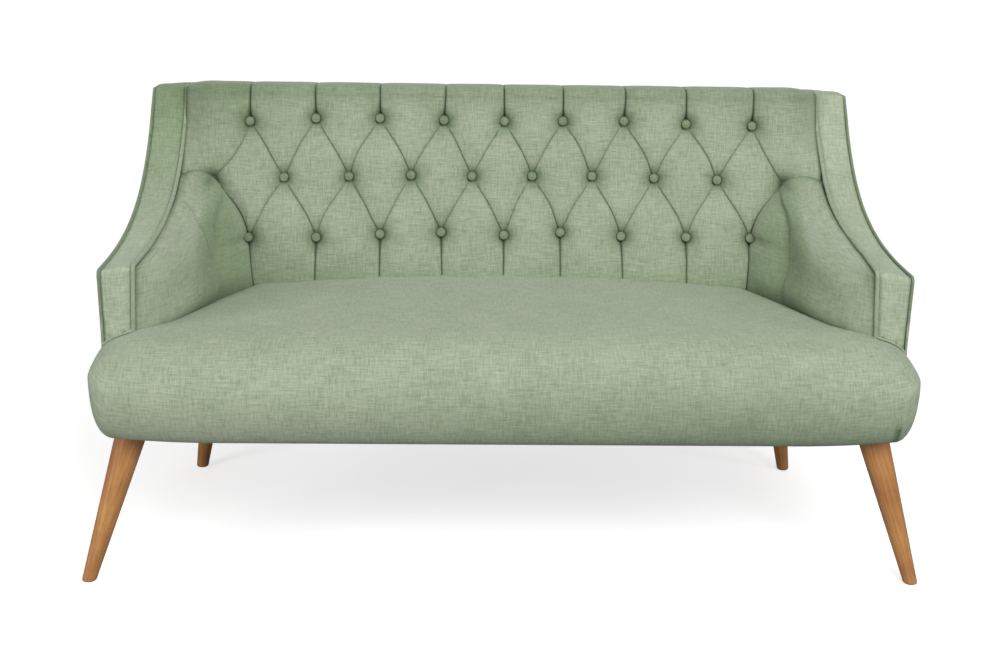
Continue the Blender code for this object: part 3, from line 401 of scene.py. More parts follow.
def seat_cover():
    """The seat as level sections across its width.

    A section goes round from under the front rail: a quarter ellipse up to the nose, a longer one
    over it, the crowned top, the rear and the underside. Towards each end the section draws in as a
    quarter circle, and closes in a shallow dome. The crown falls to nothing at the arm pads.
    """
    middle_part = np.linspace(0, INSIDE_X - 0.003, 110)
    end_part = HALF_WIDTH - SEAT_END_RADIUS * (1 - np.sin(np.linspace(0, pi / 2, 15)))
    half = np.hstack([middle_part, [INSIDE_X, INSIDE_X + 0.003], end_part])
    x = np.hstack([-half[:0:-1], half])[:, None]
    out = np.abs(x)
    inset = end_inset(x)
    rear = np.where(out < INSIDE_X, SEAT_REAR_Y, ARM_FRONT_Y - 0.0003)
    support = np.where(out <= INSIDE_X, SEAT_SUPPORT_Z, UNDER_ARM_Z)
    front = -DEPTH / 2 + inset
    bottom = SEAT_UNDERSIDE_Z + inset * 1.3 + 0.0105 * ramp(out, 0.46, HALF_WIDTH) ** 2
    nose = bottom + NOSE_LOWER_HEIGHT - inset / 2
    top_y = front + NOSE_UPPER_LENGTH

    def top_z(y):
        across = np.clip(out / junction_x(y), 0, 1)
        crown = SEAT_CROWN * (1 - across**3) ** 2
        uneven = 0.0010 * gentle(x, y, 0.30, 3) * (1 - across**4)
        tuck = 0.006 * peak((junction_x(y) - out).clip(0), 0.016) * ramp(y, ARM_FRONT_Y, ARM_FRONT_Y + 0.15)
        return SEAT_EDGE_Z + crown - end_sink(x) - shoulder(x) * ramp(y, -0.20, -0.14) + uneven - tuck

    low = np.linspace(0, pi / 2, 18)[:-1]
    high = np.linspace(0, pi / 2, 30)[:-1]
    run_y = top_y + (rear - top_y) * np.linspace(0, 1, 64)
    run_z = top_z(run_y)
    step_z = np.maximum(support, bottom + 0.0008)
    part = np.sin(np.linspace(0, pi / 2, 12)[1:]) ** 2
    y_runs = [
        FRONT_RAIL_Y + 0 * x, front + NOSE_LOWER_LENGTH * (1 - np.sin(low)), top_y - NOSE_UPPER_LENGTH * np.cos(high),
        run_y, rear + 0 * part, rear + (FRONT_RAIL_Y - rear) * part,
    ]
    z_runs = [
        bottom, nose - (nose - bottom) * np.cos(low), nose + (top_z(top_y) - nose) * np.sin(high),
        run_z, run_z[:, -1:] + (step_z - run_z[:, -1:]) * part, step_z + 0 * part,
    ]
    y, z = np.hstack(y_runs), np.hstack(z_runs)
    roll = np.zeros(y.shape)
    roll[:, 1 : 1 + len(low) + len(high)] = 1
    depth = 0.0012 * gentle(x, z * 1.4, 0.22, 8) * roll * np.sin(np.linspace(0, pi, y.shape[1]))
    seam = peak(x - SEAT_SEAM_X, 0.0011) * ramp(z, 0.256, 0.266) * ramp(z, 0.307, 0.295) * roll
    y = y - depth + 0.0012 * seam
    # Painted shade of the cover; on the end domes it fades out from the last sections.
    painted_shade = seat_shade(x, y, z, seam)
    points = stacked(x, y, z)
    length = run_length(points.swapaxes(0, 1)).T

    turn = np.linspace(0, pi / 2, 11)[1:, None, None]
    domes = []
    for end, sign in ((points[0], -1), (points[-1], 1)):
        centre = np.array([end[0, 0], *SEAT_END_CENTRE])
        ring = centre + (end - centre) * np.cos(turn).clip(0.02)
        ring[..., 0] = sign * (HALF_WIDTH + SEAT_END_DOME * np.sin(turn[..., 0]))
        domes.append(ring)
    points = np.vstack([domes[0][::-1], points, domes[1]])
    count = len(turn)
    fading = np.exp(-np.arange(1, count + 1) / 1.2)[:, None]
    painted_shade = np.vstack([(painted_shade[:1] * fading)[::-1], painted_shade, painted_shade[-1:] * fading])
    spread = np.linspace(0.006, 0.06, count)[:, None]
    wide = np.vstack([x[:1] - spread[::-1], x, x[-1:] + spread])
    length = np.pad(length, ((count, count), (0, 0)), mode="edge")
    length = np.hstack([length, length[:, -1:] + 0.09])
    return surface("seat_cover", points, stacked(wide, length), painted_shade=painted_shade, flipped=True)


def linen(name, shade):
    """Plain-woven linen-look cloth, from the piece's own cut in metres.

    Each thread is a rounded ridge, and warp and weft take turns on top. A thread's tone drifts along
    its length and differs from its neighbours', which gives the short streaks of slubbed yarn. A slow
    cloud and a soft sheen go over all. Painted shade, from the piece's own attribute, makes the cloth
    darker and greener in its folds and hollows. The second argument scales the colour.
    """
    finish = new_finish(name)
    tree, flat = finish[1], {"noise_dimensions": "2D"}

    def vectors(operation, **inputs):
        return shader_value(tree, "VectorMath", settings={"operation": operation}, **inputs)

    def thread_noise(across, along, detail, **inputs):
        return noise(shader_value(tree, "CombineXYZ", X=across, Y=along), detail, settings=flat, **inputs)

    cut = shader_value(tree, "UVMap", settings={"uv_map": "cut"})
    wander = noise(cut, 2.0, 60.0, "Color", flat)
    cut = vectors("ADD", i0=cut, i1=vectors("SCALE", i0=wander, Scale=0.0012))
    across, along = [shader_value(tree, "SeparateXYZ", axis, Vector=cut) * (1 / THREAD) for axis in "XY"]
    warp, weft = across.math("FLOOR"), along.math("FLOOR")
    turns = (warp + weft).math("MODULO", 2.0).math("ABSOLUTE")
    warp_ridge = (across.math("FRACT") * pi).math("SINE") * (turns * 0.6 + 0.4)
    weft_ridge = (along.math("FRACT") * pi).math("SINE") * (turns * -0.6 + 1.0)
    ridge = warp_ridge.math("MAXIMUM", weft_ridge)
    warp_tone = thread_noise(warp * 0.61, along * 0.060, 2.0, Roughness=0.6)
    weft_tone = thread_noise(across * 0.042, weft * 0.61 + 57.0, 2.0, Roughness=0.6)
    thread = warp_tone * 0.34 + weft_tone * 0.34
    for wide, long, apart in ((0.27, 0.030, 11.0), (0.026, 0.27, 83.0)):
        thread = thread + thread_noise(across * wide, along * long + apart, 1.0) * 0.16
    tone = thread * 0.88 + noise(cut, 3.0, 14.0, settings=flat) * 0.12 + ridge * 0.10 - 0.07
    dark, pale = [[shade * part for part in colour] for colour in ((0.231, 0.290, 0.182), (0.432, 0.483, 0.374))]
    colour = colour_ramp(tone, (0.35, dark), (0.65, pale))
    # Painted shade: the attribute turns the cloth darker and greener, standing in for the shade in folds.
    painted_shade = shader_value(tree, "Attribute", "Fac", {"attribute_name": "painted_shade"})
    fold = colour_ramp(painted_shade, (0, (1, 1, 1)), (0.4, (0.64, 0.72, 0.60)), (1, (0.13, 0.19, 0.09)))
    return completed(
        finish, ridge, 0.55, 0.0003, Base_Color=vectors("MULTIPLY", i0=colour, i1=fold), Roughness=0.92,
        Sheen_Weight=0.22, Sheen_Roughness=0.55, Sheen_Tint=(0.85, 0.95, 0.80, 1), Specular_IOR_Level=0.25,
    )


sage_linen = linen("sage_linen", 1.0)
seat = dress(seat_cover(), sage_linen, "sage_cloth", "seat_pad")

# Arm strips and welts
#
# Each arm's front and top edge carries a narrow padded strip of the same cloth, sewn between two
# welts: cords in bias-cut cloth. A short welt closes the strip's foot above the seat roll.

WELT_RADIUS = 0.0035
WELT_X = 0.6474
STRIP_WIDTH = WELT_X - INNER_WELT_X
STRIP_TUCK, STRIP_SWELL, STRIP_BACK = 0.0072, 0.0056, 0.0085  # below the arm's edge: its seams, less its arch, its back
ARM_KNEE = (-0.2425, 0.518)
ARM_CREST = (0.290, 0.750)
ARM_REAR_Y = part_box("arm_facing_left")[1].y
SWEEP_HANDLES = ((-0.020, 0.520), (0.175, 0.545))
SWEEP_SPREAD = (  # Y along the right arm, and how much further out its inner edge stands there
    (-0.233, -0.196, -0.12, -0.04, 0.03, 0.10, 0.15, 0.19, 0.22, 0.26),
    (0, 0.0034, 0.0075, 0.0056, 0.0024, 0, 0, 0.0013, 0.0013, 0),
)
EDGE_RISE = (  # Z along both arms, and how much higher the inner edge stands there
    (0.455, 0.518, 0.540, 0.560, 0.600, 0.660, 0.720),
    (0, 0.0095, 0.0085, 0.0075, 0.0050, 0.0020, 0),
)


def unit(vectors):
    """Vectors brought to a length of one."""
    return vectors / np.linalg.norm(vectors, axis=-1, keepdims=True).clip(1e-6)


def rounded(before, corner, after, radius, count):
    """Points of the arc that rounds a corner: it touches both sides at the same distance from it."""
    one, two = unit(np.subtract(before, corner)), unit(np.subtract(after, corner))
    half = math.acos(one @ two) / 2
    centre = corner + unit(one + two) * radius / math.sin(half)
    start, end = [corner + way * radius / math.tan(half) - centre for way in (one, two)]
    turn = pi - 2 * half
    share = np.linspace(0, 1, count)[:, None]
    return centre + (np.sin((1 - share) * turn) * start + np.sin(share * turn) * end) / math.sin(turn)


def eased(share):
    """A share that starts and ends gently."""
    return share * share * (3 - 2 * share)


def outwards(points):
    """The same points moved out with the arms, which open a little towards the front, the right one more.

    The strip's inner edge also spreads at its foot, and on the right along the sweep, and it rides up
    over the knee and the lower sweep.
    """
    x, y, z = np.moveaxis(points, -1, 0)
    front = ramp(y, 0.10, -0.23)
    foot = ramp(z, 0.515, 0.400) * ramp(y, -0.19, -0.23)
    on_right = 0.0065 + 0.0020 * front + 0.0088 * foot + np.interp(y, *SWEEP_SPREAD)
    inner = np.where(x > 0, on_right, 0.0070 * front + 0.0066 * foot)
    outer = np.where(x > 0, 0.0020 + 0.0025 * front, 0)
    share = ramp(np.abs(x), INNER_WELT_X, WELT_X)
    near = eased(ramp(np.abs(x), 0.535, 0.580))
    moved = points.copy()
    moved[..., 0] += np.sign(x) * (inner + (outer - inner) * share) * near
    moved[..., 2] += np.interp(z, *EDGE_RISE) * (1 - share) * near
    return moved


def arm_edge(start_z=SEAT_EDGE_Z):
    """The arm's edge as (Y, Z): straight up its front, over the knee, a cubic sweep, and level to the rear."""
    front, rear = np.array((ARM_FRONT_Y, SEAT_EDGE_Z)), (ARM_REAR_Y, ARM_CREST[1])
    knee = rounded(front, ARM_KNEE, SWEEP_HANDLES[0], 0.010, 12)
    crest = rounded(SWEEP_HANDLES[1], ARM_CREST, rear, 0.010, 10)
    t = np.linspace(0, 1, 90)[1:-1, None]
    one, two = map(np.array, SWEEP_HANDLES)
    sweep = (1 - t) ** 3 * knee[-1] + 3 * (1 - t) ** 2 * t * one + 3 * (1 - t) * t**2 * two + t**3 * crest[0]
    foot = np.linspace((ARM_FRONT_Y, start_z), front, 16)[:-1] if start_z < SEAT_EDGE_Z else np.zeros((0, 2))
    up = np.linspace(front, knee[0], 16)[:-1]
    return np.vstack([foot, up, knee, sweep, crest, np.linspace(crest[-1], rear, 12)[1:]])


def inward(path):
    """At each point of a path, the step of one unit to its right, as the mean of its two sides."""
    along = unit(np.gradient(path, axis=0))
    return stacked(along[:, 1], -along[:, 0])


def foot_places(side, x, ahead=0.0):
    """Places across the strip at the height of the seat's edge, moved out with the arm."""
    return outwards(stacked(side * x, ARM_FRONT_Y - ahead, SEAT_EDGE_Z))


def strip(name, side):
    """The padded strip: its section is a low arch between the welts, tucked down at both edges.

    Short puckers stand along both seams. Painted shade darkens it at its seams and where it meets the
    seat, and on the left also towards the top. It runs on down behind the roll and hides the arm frame there.
    """
    path = arm_edge(UNDER_ARM_Z + 0.0006)
    length = run_length(path)[:, None]
    share = np.linspace(0, 1, 33)
    x = INNER_WELT_X + 0.0012 + (STRIP_WIDTH - 0.0024) * share
    swell = STRIP_SWELL * np.sin(share * pi) ** np.where(share > 0.5, 0.32, 0.55)
    swell = swell * (1 + 0.10 * gentle(length, x, 0.07, 21))
    pucker = 0.00035 * np.sin(length * 2 * pi / 0.0085) * np.exp(-share * (1 - share) * 40)
    depth = np.hstack([STRIP_TUCK - swell + pucker, np.full((len(path), len(x)), STRIP_BACK)])
    ring_x = np.hstack([x, x[::-1]])
    ring = path[:, None] + inward(path)[:, None] * depth[..., None]
    points = stacked(side * ring_x, ring[..., 0], ring[..., 1])
    fall = np.sin(ramp(ring_x, INNER_WELT_X, WELT_X) * pi * 0.82) ** 1.5
    points[..., 2] -= 0.0026 * fall * ramp(points[..., 2], 0.715, 0.745)
    points = outwards(points)
    uv = stacked(np.append(ring_x, ring_x[0]), length)
    # Painted shade: at the foot over the seat, on the left strip's upper part and along both seams.
    height = path[:, 1:] - SEAT_EDGE_Z
    foot = 0.70 * peak(height + end_sink(foot_places(side, x)[:, 0]) - 0.0022, 0.0016)
    upper = 0.58 * (side < 0) * np.clip(height / 0.25 - 0.45, 0, 1) ** 0.7
    to_edge = np.minimum(share, 1 - share) * STRIP_WIDTH
    inner_edge = (0.50 if side < 0 else 0.85) * peak(to_edge, 0.0042)
    edges = np.where(share < 0.5, inner_edge, 0.45 * peak(to_edge, 0.0030))
    painted_shade = layered(edges, foot, upper)
    return surface(name, points, uv, painted_shade=np.hstack([painted_shade, painted_shade[:, ::-1]]), flipped=side > 0)


def welt(name, centres, radius=WELT_RADIUS, seed=5, shade=0.0):
    """A covered cord along a path of centres: a ring in the plane across the path, with faint bias ripples."""
    length = run_length(centres)[:, None]
    along = unit(np.gradient(centres, axis=0))
    side = unit(np.cross(along, (1.0, 0.02, 0.01) if abs(along[0, 0]) < 0.5 else (0.0, 1.0, 0.0)))
    turn = np.linspace(0, 2 * pi, 17)
    ripple = 1 + 0.022 * np.sin(length * 2 * pi / 0.0062 + turn) + 0.02 * gentle(length, turn * 0.01, 0.02, seed)
    ripple[:, -1] = ripple[:, 0]
    ring = np.cos(turn)[:, None] * side[:, None] + np.sin(turn)[:, None] * np.cross(along, side)[:, None]
    points = (centres[:, None] + ring * (radius * ripple)[..., None])[:, :-1]
    uv = stacked(turn * radius + length * 0.7, length * 0.7 - turn * radius)
    # The whole cord gets one even painted shade.
    return surface(name, points, uv, painted_shade=np.full(points.shape[:2], shade))


def edge_centres(start_z, x):
    """The line of a welt's middle: the arm's edge, moved in. Both welts sink at the crest, the outer one sooner."""
    path = arm_edge(start_z)
    length = run_length(path)
    even = np.linspace(0, length[-1], int(length[-1] / 0.0016) + 1)
    path = np.column_stack([np.interp(even, length, column) for column in path.T])
    start, most, depth = (0.022, 0.0066, 0.0017) if abs(x) > INNER_WELT_X else (-0.012, 0.0050, WELT_RADIUS - 0.0012)
    sunk = most * np.clip((path[:, :1] - ARM_CREST[0] + start) / 0.026, 0, 1)
    places = path + inward(path) * (depth + sunk)
    return outwards(np.column_stack([np.full(len(places), x), places]))


# A copy of the cloth painted lighter, standing in for more light on the arms' strips.
strip_linen_painted_lighter = linen("strip_linen_painted_lighter", 1.19)
for side, hand in SIDES:
    face = dress(strip(f"arm_strip_{hand}", side), strip_linen_painted_lighter, "sage_cloth", f"arm_facing_{hand}")
    foot_line = foot_places(side, np.linspace(INNER_WELT_X, WELT_X, 40), 0.0012)
    foot_line[:, 2] = SEAT_EDGE_Z - end_sink(foot_line[:, 0]) + 0.0024
    inner_line = edge_centres(SEAT_EDGE_Z - 0.012, side * INNER_WELT_X)
    outer_line = edge_centres(UNDER_ARM_Z + 0.010, side * WELT_X)
    dress(welt(f"foot_welt_{hand}", foot_line, radius=0.0018, seed=7), sage_linen, "sage_cloth")
    dress(welt(f"inner_welt_{hand}", inner_line), sage_linen, "sage_cloth")
    # The outer welts get painted shade, darkening the arms' outer edges.
    dress(welt(f"outer_welt_{hand}", outer_line, radius=0.0022, seed=6, shade=0.42), sage_linen, "sage_cloth")

# Outside arm covers
#
# A plain panel of the cloth over stiff card closes each arm's outside. It is tacked under the welt
# along its front and top, and pulled down and stapled under the frame.

REAR_LEAN = math.radians(6)


def outside_arm(name, side):
    """A panel between the arm's edge and its underside: straight columns from bottom to edge, bowed out a little."""
    edge = arm_edge()
    edge = (edge + inward(edge) * WELT_RADIUS)[np.argmin(edge[:, 0]) :]
    across = np.linspace(0, 1, 90)
    top_y = edge[0, 0] + (edge[-1, 0] - edge[0, 0]) * across
    top_z = np.interp(top_y, edge[:, 0], edge[:, 1]) - 0.0055 * ramp(top_y, ARM_CREST[0] - 0.012, ARM_CREST[0] + 0.012)
    low_z = UNDER_ARM_Z - 0.0003
    low_front = ARM_FRONT_Y + WELT_RADIUS
    low_y = low_front + (ARM_REAR_Y - (ARM_CREST[1] - low_z) * math.tan(REAR_LEAN) - low_front) * across
    up = np.linspace(0, 1, 60)[:, None]
    y = low_y + (top_y - low_y) * up
    z = low_z + (top_z - low_z) * up
    bow = 0.0016 * (np.sin(up * pi) * np.sin(across * pi)) ** 0.5
    edge_roll = 0.0012 * (1 - np.minimum(1, np.minimum(up, 1 - up) * 22)) ** 2
    outer = HALF_WIDTH - 0.0022 + bow * 0.6 - edge_roll + 0.0002 * gentle(y, z, 0.12, 31)
    x = np.vstack([outer, np.full(y.shape, HALF_WIDTH - 0.0045)])
    y, z = np.vstack([y, y[::-1]]), np.vstack([z, z[::-1]])
    uv = stacked(y, z).swapaxes(0, 1)
    uv = np.hstack([uv, uv[:, :1]])
    return surface(name, outwards(stacked(side * x, y, z)).swapaxes(0, 1), uv, flipped=side < 0)


for side, hand in SIDES:
    dress(outside_arm(f"outside_arm_cover_{hand}", side), sage_linen, "sage_cloth", f"outside_arm_{hand}")

# Inside arms
#
# Foam and wadding over the arm's inner side, under one cover. It is full and smooth at the front,
# and swells towards the back's corners, where it is drawn into a tuft beside the back.

BACK_LEAN = math.radians(18)
CREASE_Y, CREASE_Z = 0.150, 0.430
HIDDEN_TUFT_X = 0.5295
PITCH_GROWTH = 0.062
LAST_TUFT = 4
ROW_DROOP = 0.007
LOW_ROW_Z, MIDDLE_ROW_Z, TOP_ROW_Z = 0.4970, 0.6002, 0.6982
COVER_TOP_Z = 0.7415
PILLOW_HEIGHT = 0.028
PLEAT_LEVEL = 0.76  # height of a pleat's floor, of the pillows', away from the buttons
BOARD_FRONT = 0.022
EDGE_ROLL = 0.085
ARCH_HEIGHT = 0.014
RIGHT_PAD_SHIFT = 0.0065  # the right pads' edge stands this much further out
ROWS = (  # how far each tuft is off its even place, X and Z in millimetres: low, middle and top row, left to right
    ((2.0, 2.4, 2.2, 1.2, 6.0, -1.4, -1.7, 1.3, -3.8), (-3.7, -5.8, -1.6, 1.7, -2.9, 3.6, -1.2, 0.3, 2.8)),
    ((0.0, 3.4, 2.2, 1.2, 1.9, 2.0, 1.2, 1.2, -2.1, -6.5), (-1.5, -2.9, -2.6, -1.4, -2.8, -1.7, 0.2, -0.6, -0.3, -2.0)),
    ((2.7, -0.2, 0.1, 5.0, 5.9, 3.2, 3.3, 1.2, 0.2), (-1.3, 2.0, 1.2, -2.3, -3.2, -1.7, 0.8, -1.1, -0.1)),
)
ARM_FOOT_Z = SEAT_EDGE_Z - 0.008
ARM_SWELL, ARM_OVERHANG, CORNER_SWELL = 0.0175, 0.0090, 0.0110  # of the front length, the foot and the corner
BUTTON_WELL = 0.0070  # radius round a button within which the cover is pulled flat
CORNER = (  # Z, X and Y of the crease in the corner, and how far the right one is further out
    (0.404, 0.5015, 0.008, 0.0015), (0.440, 0.507, 0.030, 0.002), (0.480, 0.511, 0.052, 0.004),
    (0.530, 0.511, 0.085, 0.007), (0.552, 0.508, 0.110, 0.008), (0.570, 0.503, 0.143, 0.008),
    (0.582, 0.512, 0.172, 0.002), (0.5932, 0.5295, 0.1985, -0.0065),
)
ARM_WRINKLES = (  # each a line of 0.3 times the share of the way to the corner and Z, and its width
    (((0.03, 0.562), (0.105, 0.552), (0.20, 0.530), (0.245, 0.505), (0.285, 0.470)), 0.0016),
    (((0.27, 0.595), (0.285, 0.560), (0.275, 0.520)), 0.0040),
)


def crease_y(z):
    """The plane in which the back is buttoned: it leans back evenly with height."""
    return CREASE_Y + (z - CREASE_Z) * math.tan(BACK_LEAN)


def tuft_x(number):
    """X of a tuft, counted from the middle one: the spacing grows with the square of the number."""
    share = number / (LAST_TUFT + 0.5)
    return HIDDEN_TUFT_X * share * (1 + PITCH_GROWTH * (share**2 - 1))


def hand_set(u, v, axis):
    """How far a place is moved with the tufts round it, on even shares between the tufts and the rows."""
    low, middle, top = [np.interp(u, np.arange(len(row[axis])) - (len(row[axis]) - 1) / 2, row[axis]) for row in ROWS]
    share = 2 * np.clip(v, 0, 1)
    return 0.001 * np.where(share < 1, low + (middle - low) * share, middle + (top - middle) * (share - 1))


def cover_place(u, v):
    """X and Z of a place on the back. u counts tufts from the middle.

    v is -1 at the seat, 0 at the low row, 1 at the top one and 2 at the top edge. Rows sag towards
    the arms as the square of the distance. Slanting pleats bow upwards as half a sine wave between
    two buttons, a little differently from pleat to pleat, and most beside the arms. Straight pleats
    lean a little, and the last ones lean in towards the seat.
    """
    x = tuft_x(u)
    sag = ROW_DROOP * (x / tuft_x(LAST_TUFT)) ** 2
    z = np.interp(v, (-1, 0, 0.5, 1), (SEAT_EDGE_Z - 0.004, LOW_ROW_Z, MIDDLE_ROW_Z, TOP_ROW_Z)) - sag * (v >= 0)
    z = np.where(v < 0, z - sag * (1 + v), z)
    z = np.where(v > 1, TOP_ROW_Z - sag + (v - 1) * (COVER_TOP_Z - TOP_ROW_Z + sag), z)
    bow = 0.0060 + 0.0034 * gentle(x, z, 0.16, 9)
    bow = np.where(np.abs(u) > LAST_TUFT, np.where(v < 0.5, 0.0165, np.where(u < 0, -0.010, -0.004)), bow)
    bow = np.where((v < 0) | (v > 1), 0, bow)
    falling, rising = pi * (u + v), pi * (u - v)
    bow = bow * (np.abs(np.sin(rising)) * np.cos(falling) ** 2 - np.abs(np.sin(falling)) * np.cos(rising) ** 2)
    lean = 0.0035 * gentle(x, 0, 0.14, 14) * np.clip(np.where(v < 0.5, -v, v - 1), 0, 1)
    lean = lean - 0.010 * np.sign(u) * np.clip(-v, 0, 1) * np.clip(np.abs(u) - LAST_TUFT + 1, 0, 1)
    z = z + hand_set(u, v, 1) * np.clip(1 + v, 0, 1) * np.clip(2 - v, 0, 1)
    return x + hand_set(u, v, 0) + bow + lean * (np.abs(u) <= LAST_TUFT + 0.4), z


def pad_edge(x):
    """X of the pads' edge at the inner welts high up, without its sign."""
    return PAD_EDGE_X + 0.003 + RIGHT_PAD_SHIFT * (np.asarray(x) > 0)


def rise(to_button):
    """Share of the full height that a pleat's floor has, by its distance from the nearest button."""
    return 1 - fade(to_button - BUTTON_WELL, 0.0135)


def rolled_y(x, z, height):
    """Y of the back at a height in front of the buttoning plane: past EDGE_ROLL it curves back to the welts."""
    edge = arm_edge()
    edge = edge[np.argmin(edge[:, 0]) :]
    strip_y = np.interp(z, edge[:, 1], edge[:, 0])
    edge_y = np.clip(strip_y + 0.0030, crease_y(z) - 0.030, crease_y(z) + BOARD_FRONT - 0.004)
    past = np.clip((np.abs(x) - pad_edge(x) + EDGE_ROLL) / EDGE_ROLL, 0, 1)
    return edge_y + (crease_y(z) - height - edge_y) * (1 - past**2) ** 0.95


def nearness(a, b, line, width):
    """How near places are to a polyline: one on it, falling off to nothing as an exponential."""
    nearest = np.full(a.shape, 1.0)
    for (a1, b1), (a2, b2) in zip(line, line[1:]):
        way = np.array([a2 - a1, b2 - b1])
        along = np.clip(((a - a1) * way[0] + (b - b1) * way[1]) / (way @ way), 0, 1)
        nearest = np.minimum(nearest, np.hypot(a - a1 - along * way[0], b - b1 - along * way[1]))
    return fade(nearest, width)


def crowded(value, amount):
    """A value drawn towards the whole numbers by a sine."""
    return value - amount * np.sin(2 * pi * value) / 2 / pi


def pleat_floor(x, z, to_button):
    """Places just in front of the back's pleats, as (X without its sign, Y)."""
    return stacked(np.abs(x), rolled_y(x, z, PILLOW_HEIGHT * PLEAT_LEVEL * rise(to_button)) + 0.0006)


def arm_plan(side, share, beyond, rows, z, top_z):
    """X without its sign and Y of the inside arm before it is stuffed: its welt, its crease and the last pleat.

    Near the top the plan turns into the line of the upper edge, which runs back to the hidden tuft.
    """
    edge = arm_edge(SEAT_EDGE_Z - 0.020)
    edge = (edge + inward(edge) * 0.0055)[: np.argmax(edge[:, 1])]
    soft_z = np.linspace(0.36, 0.80, 441)
    blur = np.exp(-np.linspace(-2, 2, 81) ** 2)
    soft_y = np.pad(np.interp(soft_z, edge[:, 1], edge[:, 0]), 40, mode="edge")
    soft_y = np.convolve(soft_y, blur / blur.sum(), mode="valid")
    front_y = np.interp(z, edge[:, 1], edge[:, 0])
    front_y = front_y + (np.interp(z, soft_z, soft_y) - front_y) * (1 - fade(share, 0.10))
    welt_line = stacked(PAD_EDGE_X + 0.003, front_y)

    corner_z, corner_x, corner_y, on_right = np.array(CORNER).T
    corner_x = corner_x + on_right * (side > 0)
    level = ARM_FOOT_Z + (corner_z[-1] - ARM_FOOT_Z) * rows + 0 * share
    corner = stacked(*[np.interp(level, corner_z, line) for line in (corner_x, corner_y)])

    v = np.hstack([np.linspace(-1, 0, 30)[:-1], np.linspace(0, 0.5, 40)])
    pleat_x, pleat_z = cover_place(side * (LAST_TUFT + np.clip(v, 0, 1)), v)
    pleat = pleat_floor(pleat_x, pleat_z, np.where(v < 0, -v * 0.08, np.minimum(v, 0.5 - v) * 0.24))
    pleat[:, 0] += 0.0085 * peak(pleat_z - np.interp(0, v, pleat_z), 0.0080)
    pleat = stacked(*[np.interp(level, pleat_z, line) for line in pleat.T])

    share, beyond = share[..., None], beyond[..., None]
    plan = np.where(beyond > 0, corner + (pleat - corner) * beyond, welt_line + (corner - welt_line) * share)
    tuft = corner_x[-1]
    fold_x = pad_edge(side) + (tuft - pad_edge(side)) * share[..., 0]
    fold = pleat_floor(side * fold_x, top_z, fold_x - tuft)
    fold[..., 0] -= RIGHT_PAD_SHIFT * (side > 0) * (1 - share[..., 0])
    return plan + (fold - plan[:, -1:]) * rows[..., None] ** 4, tuft


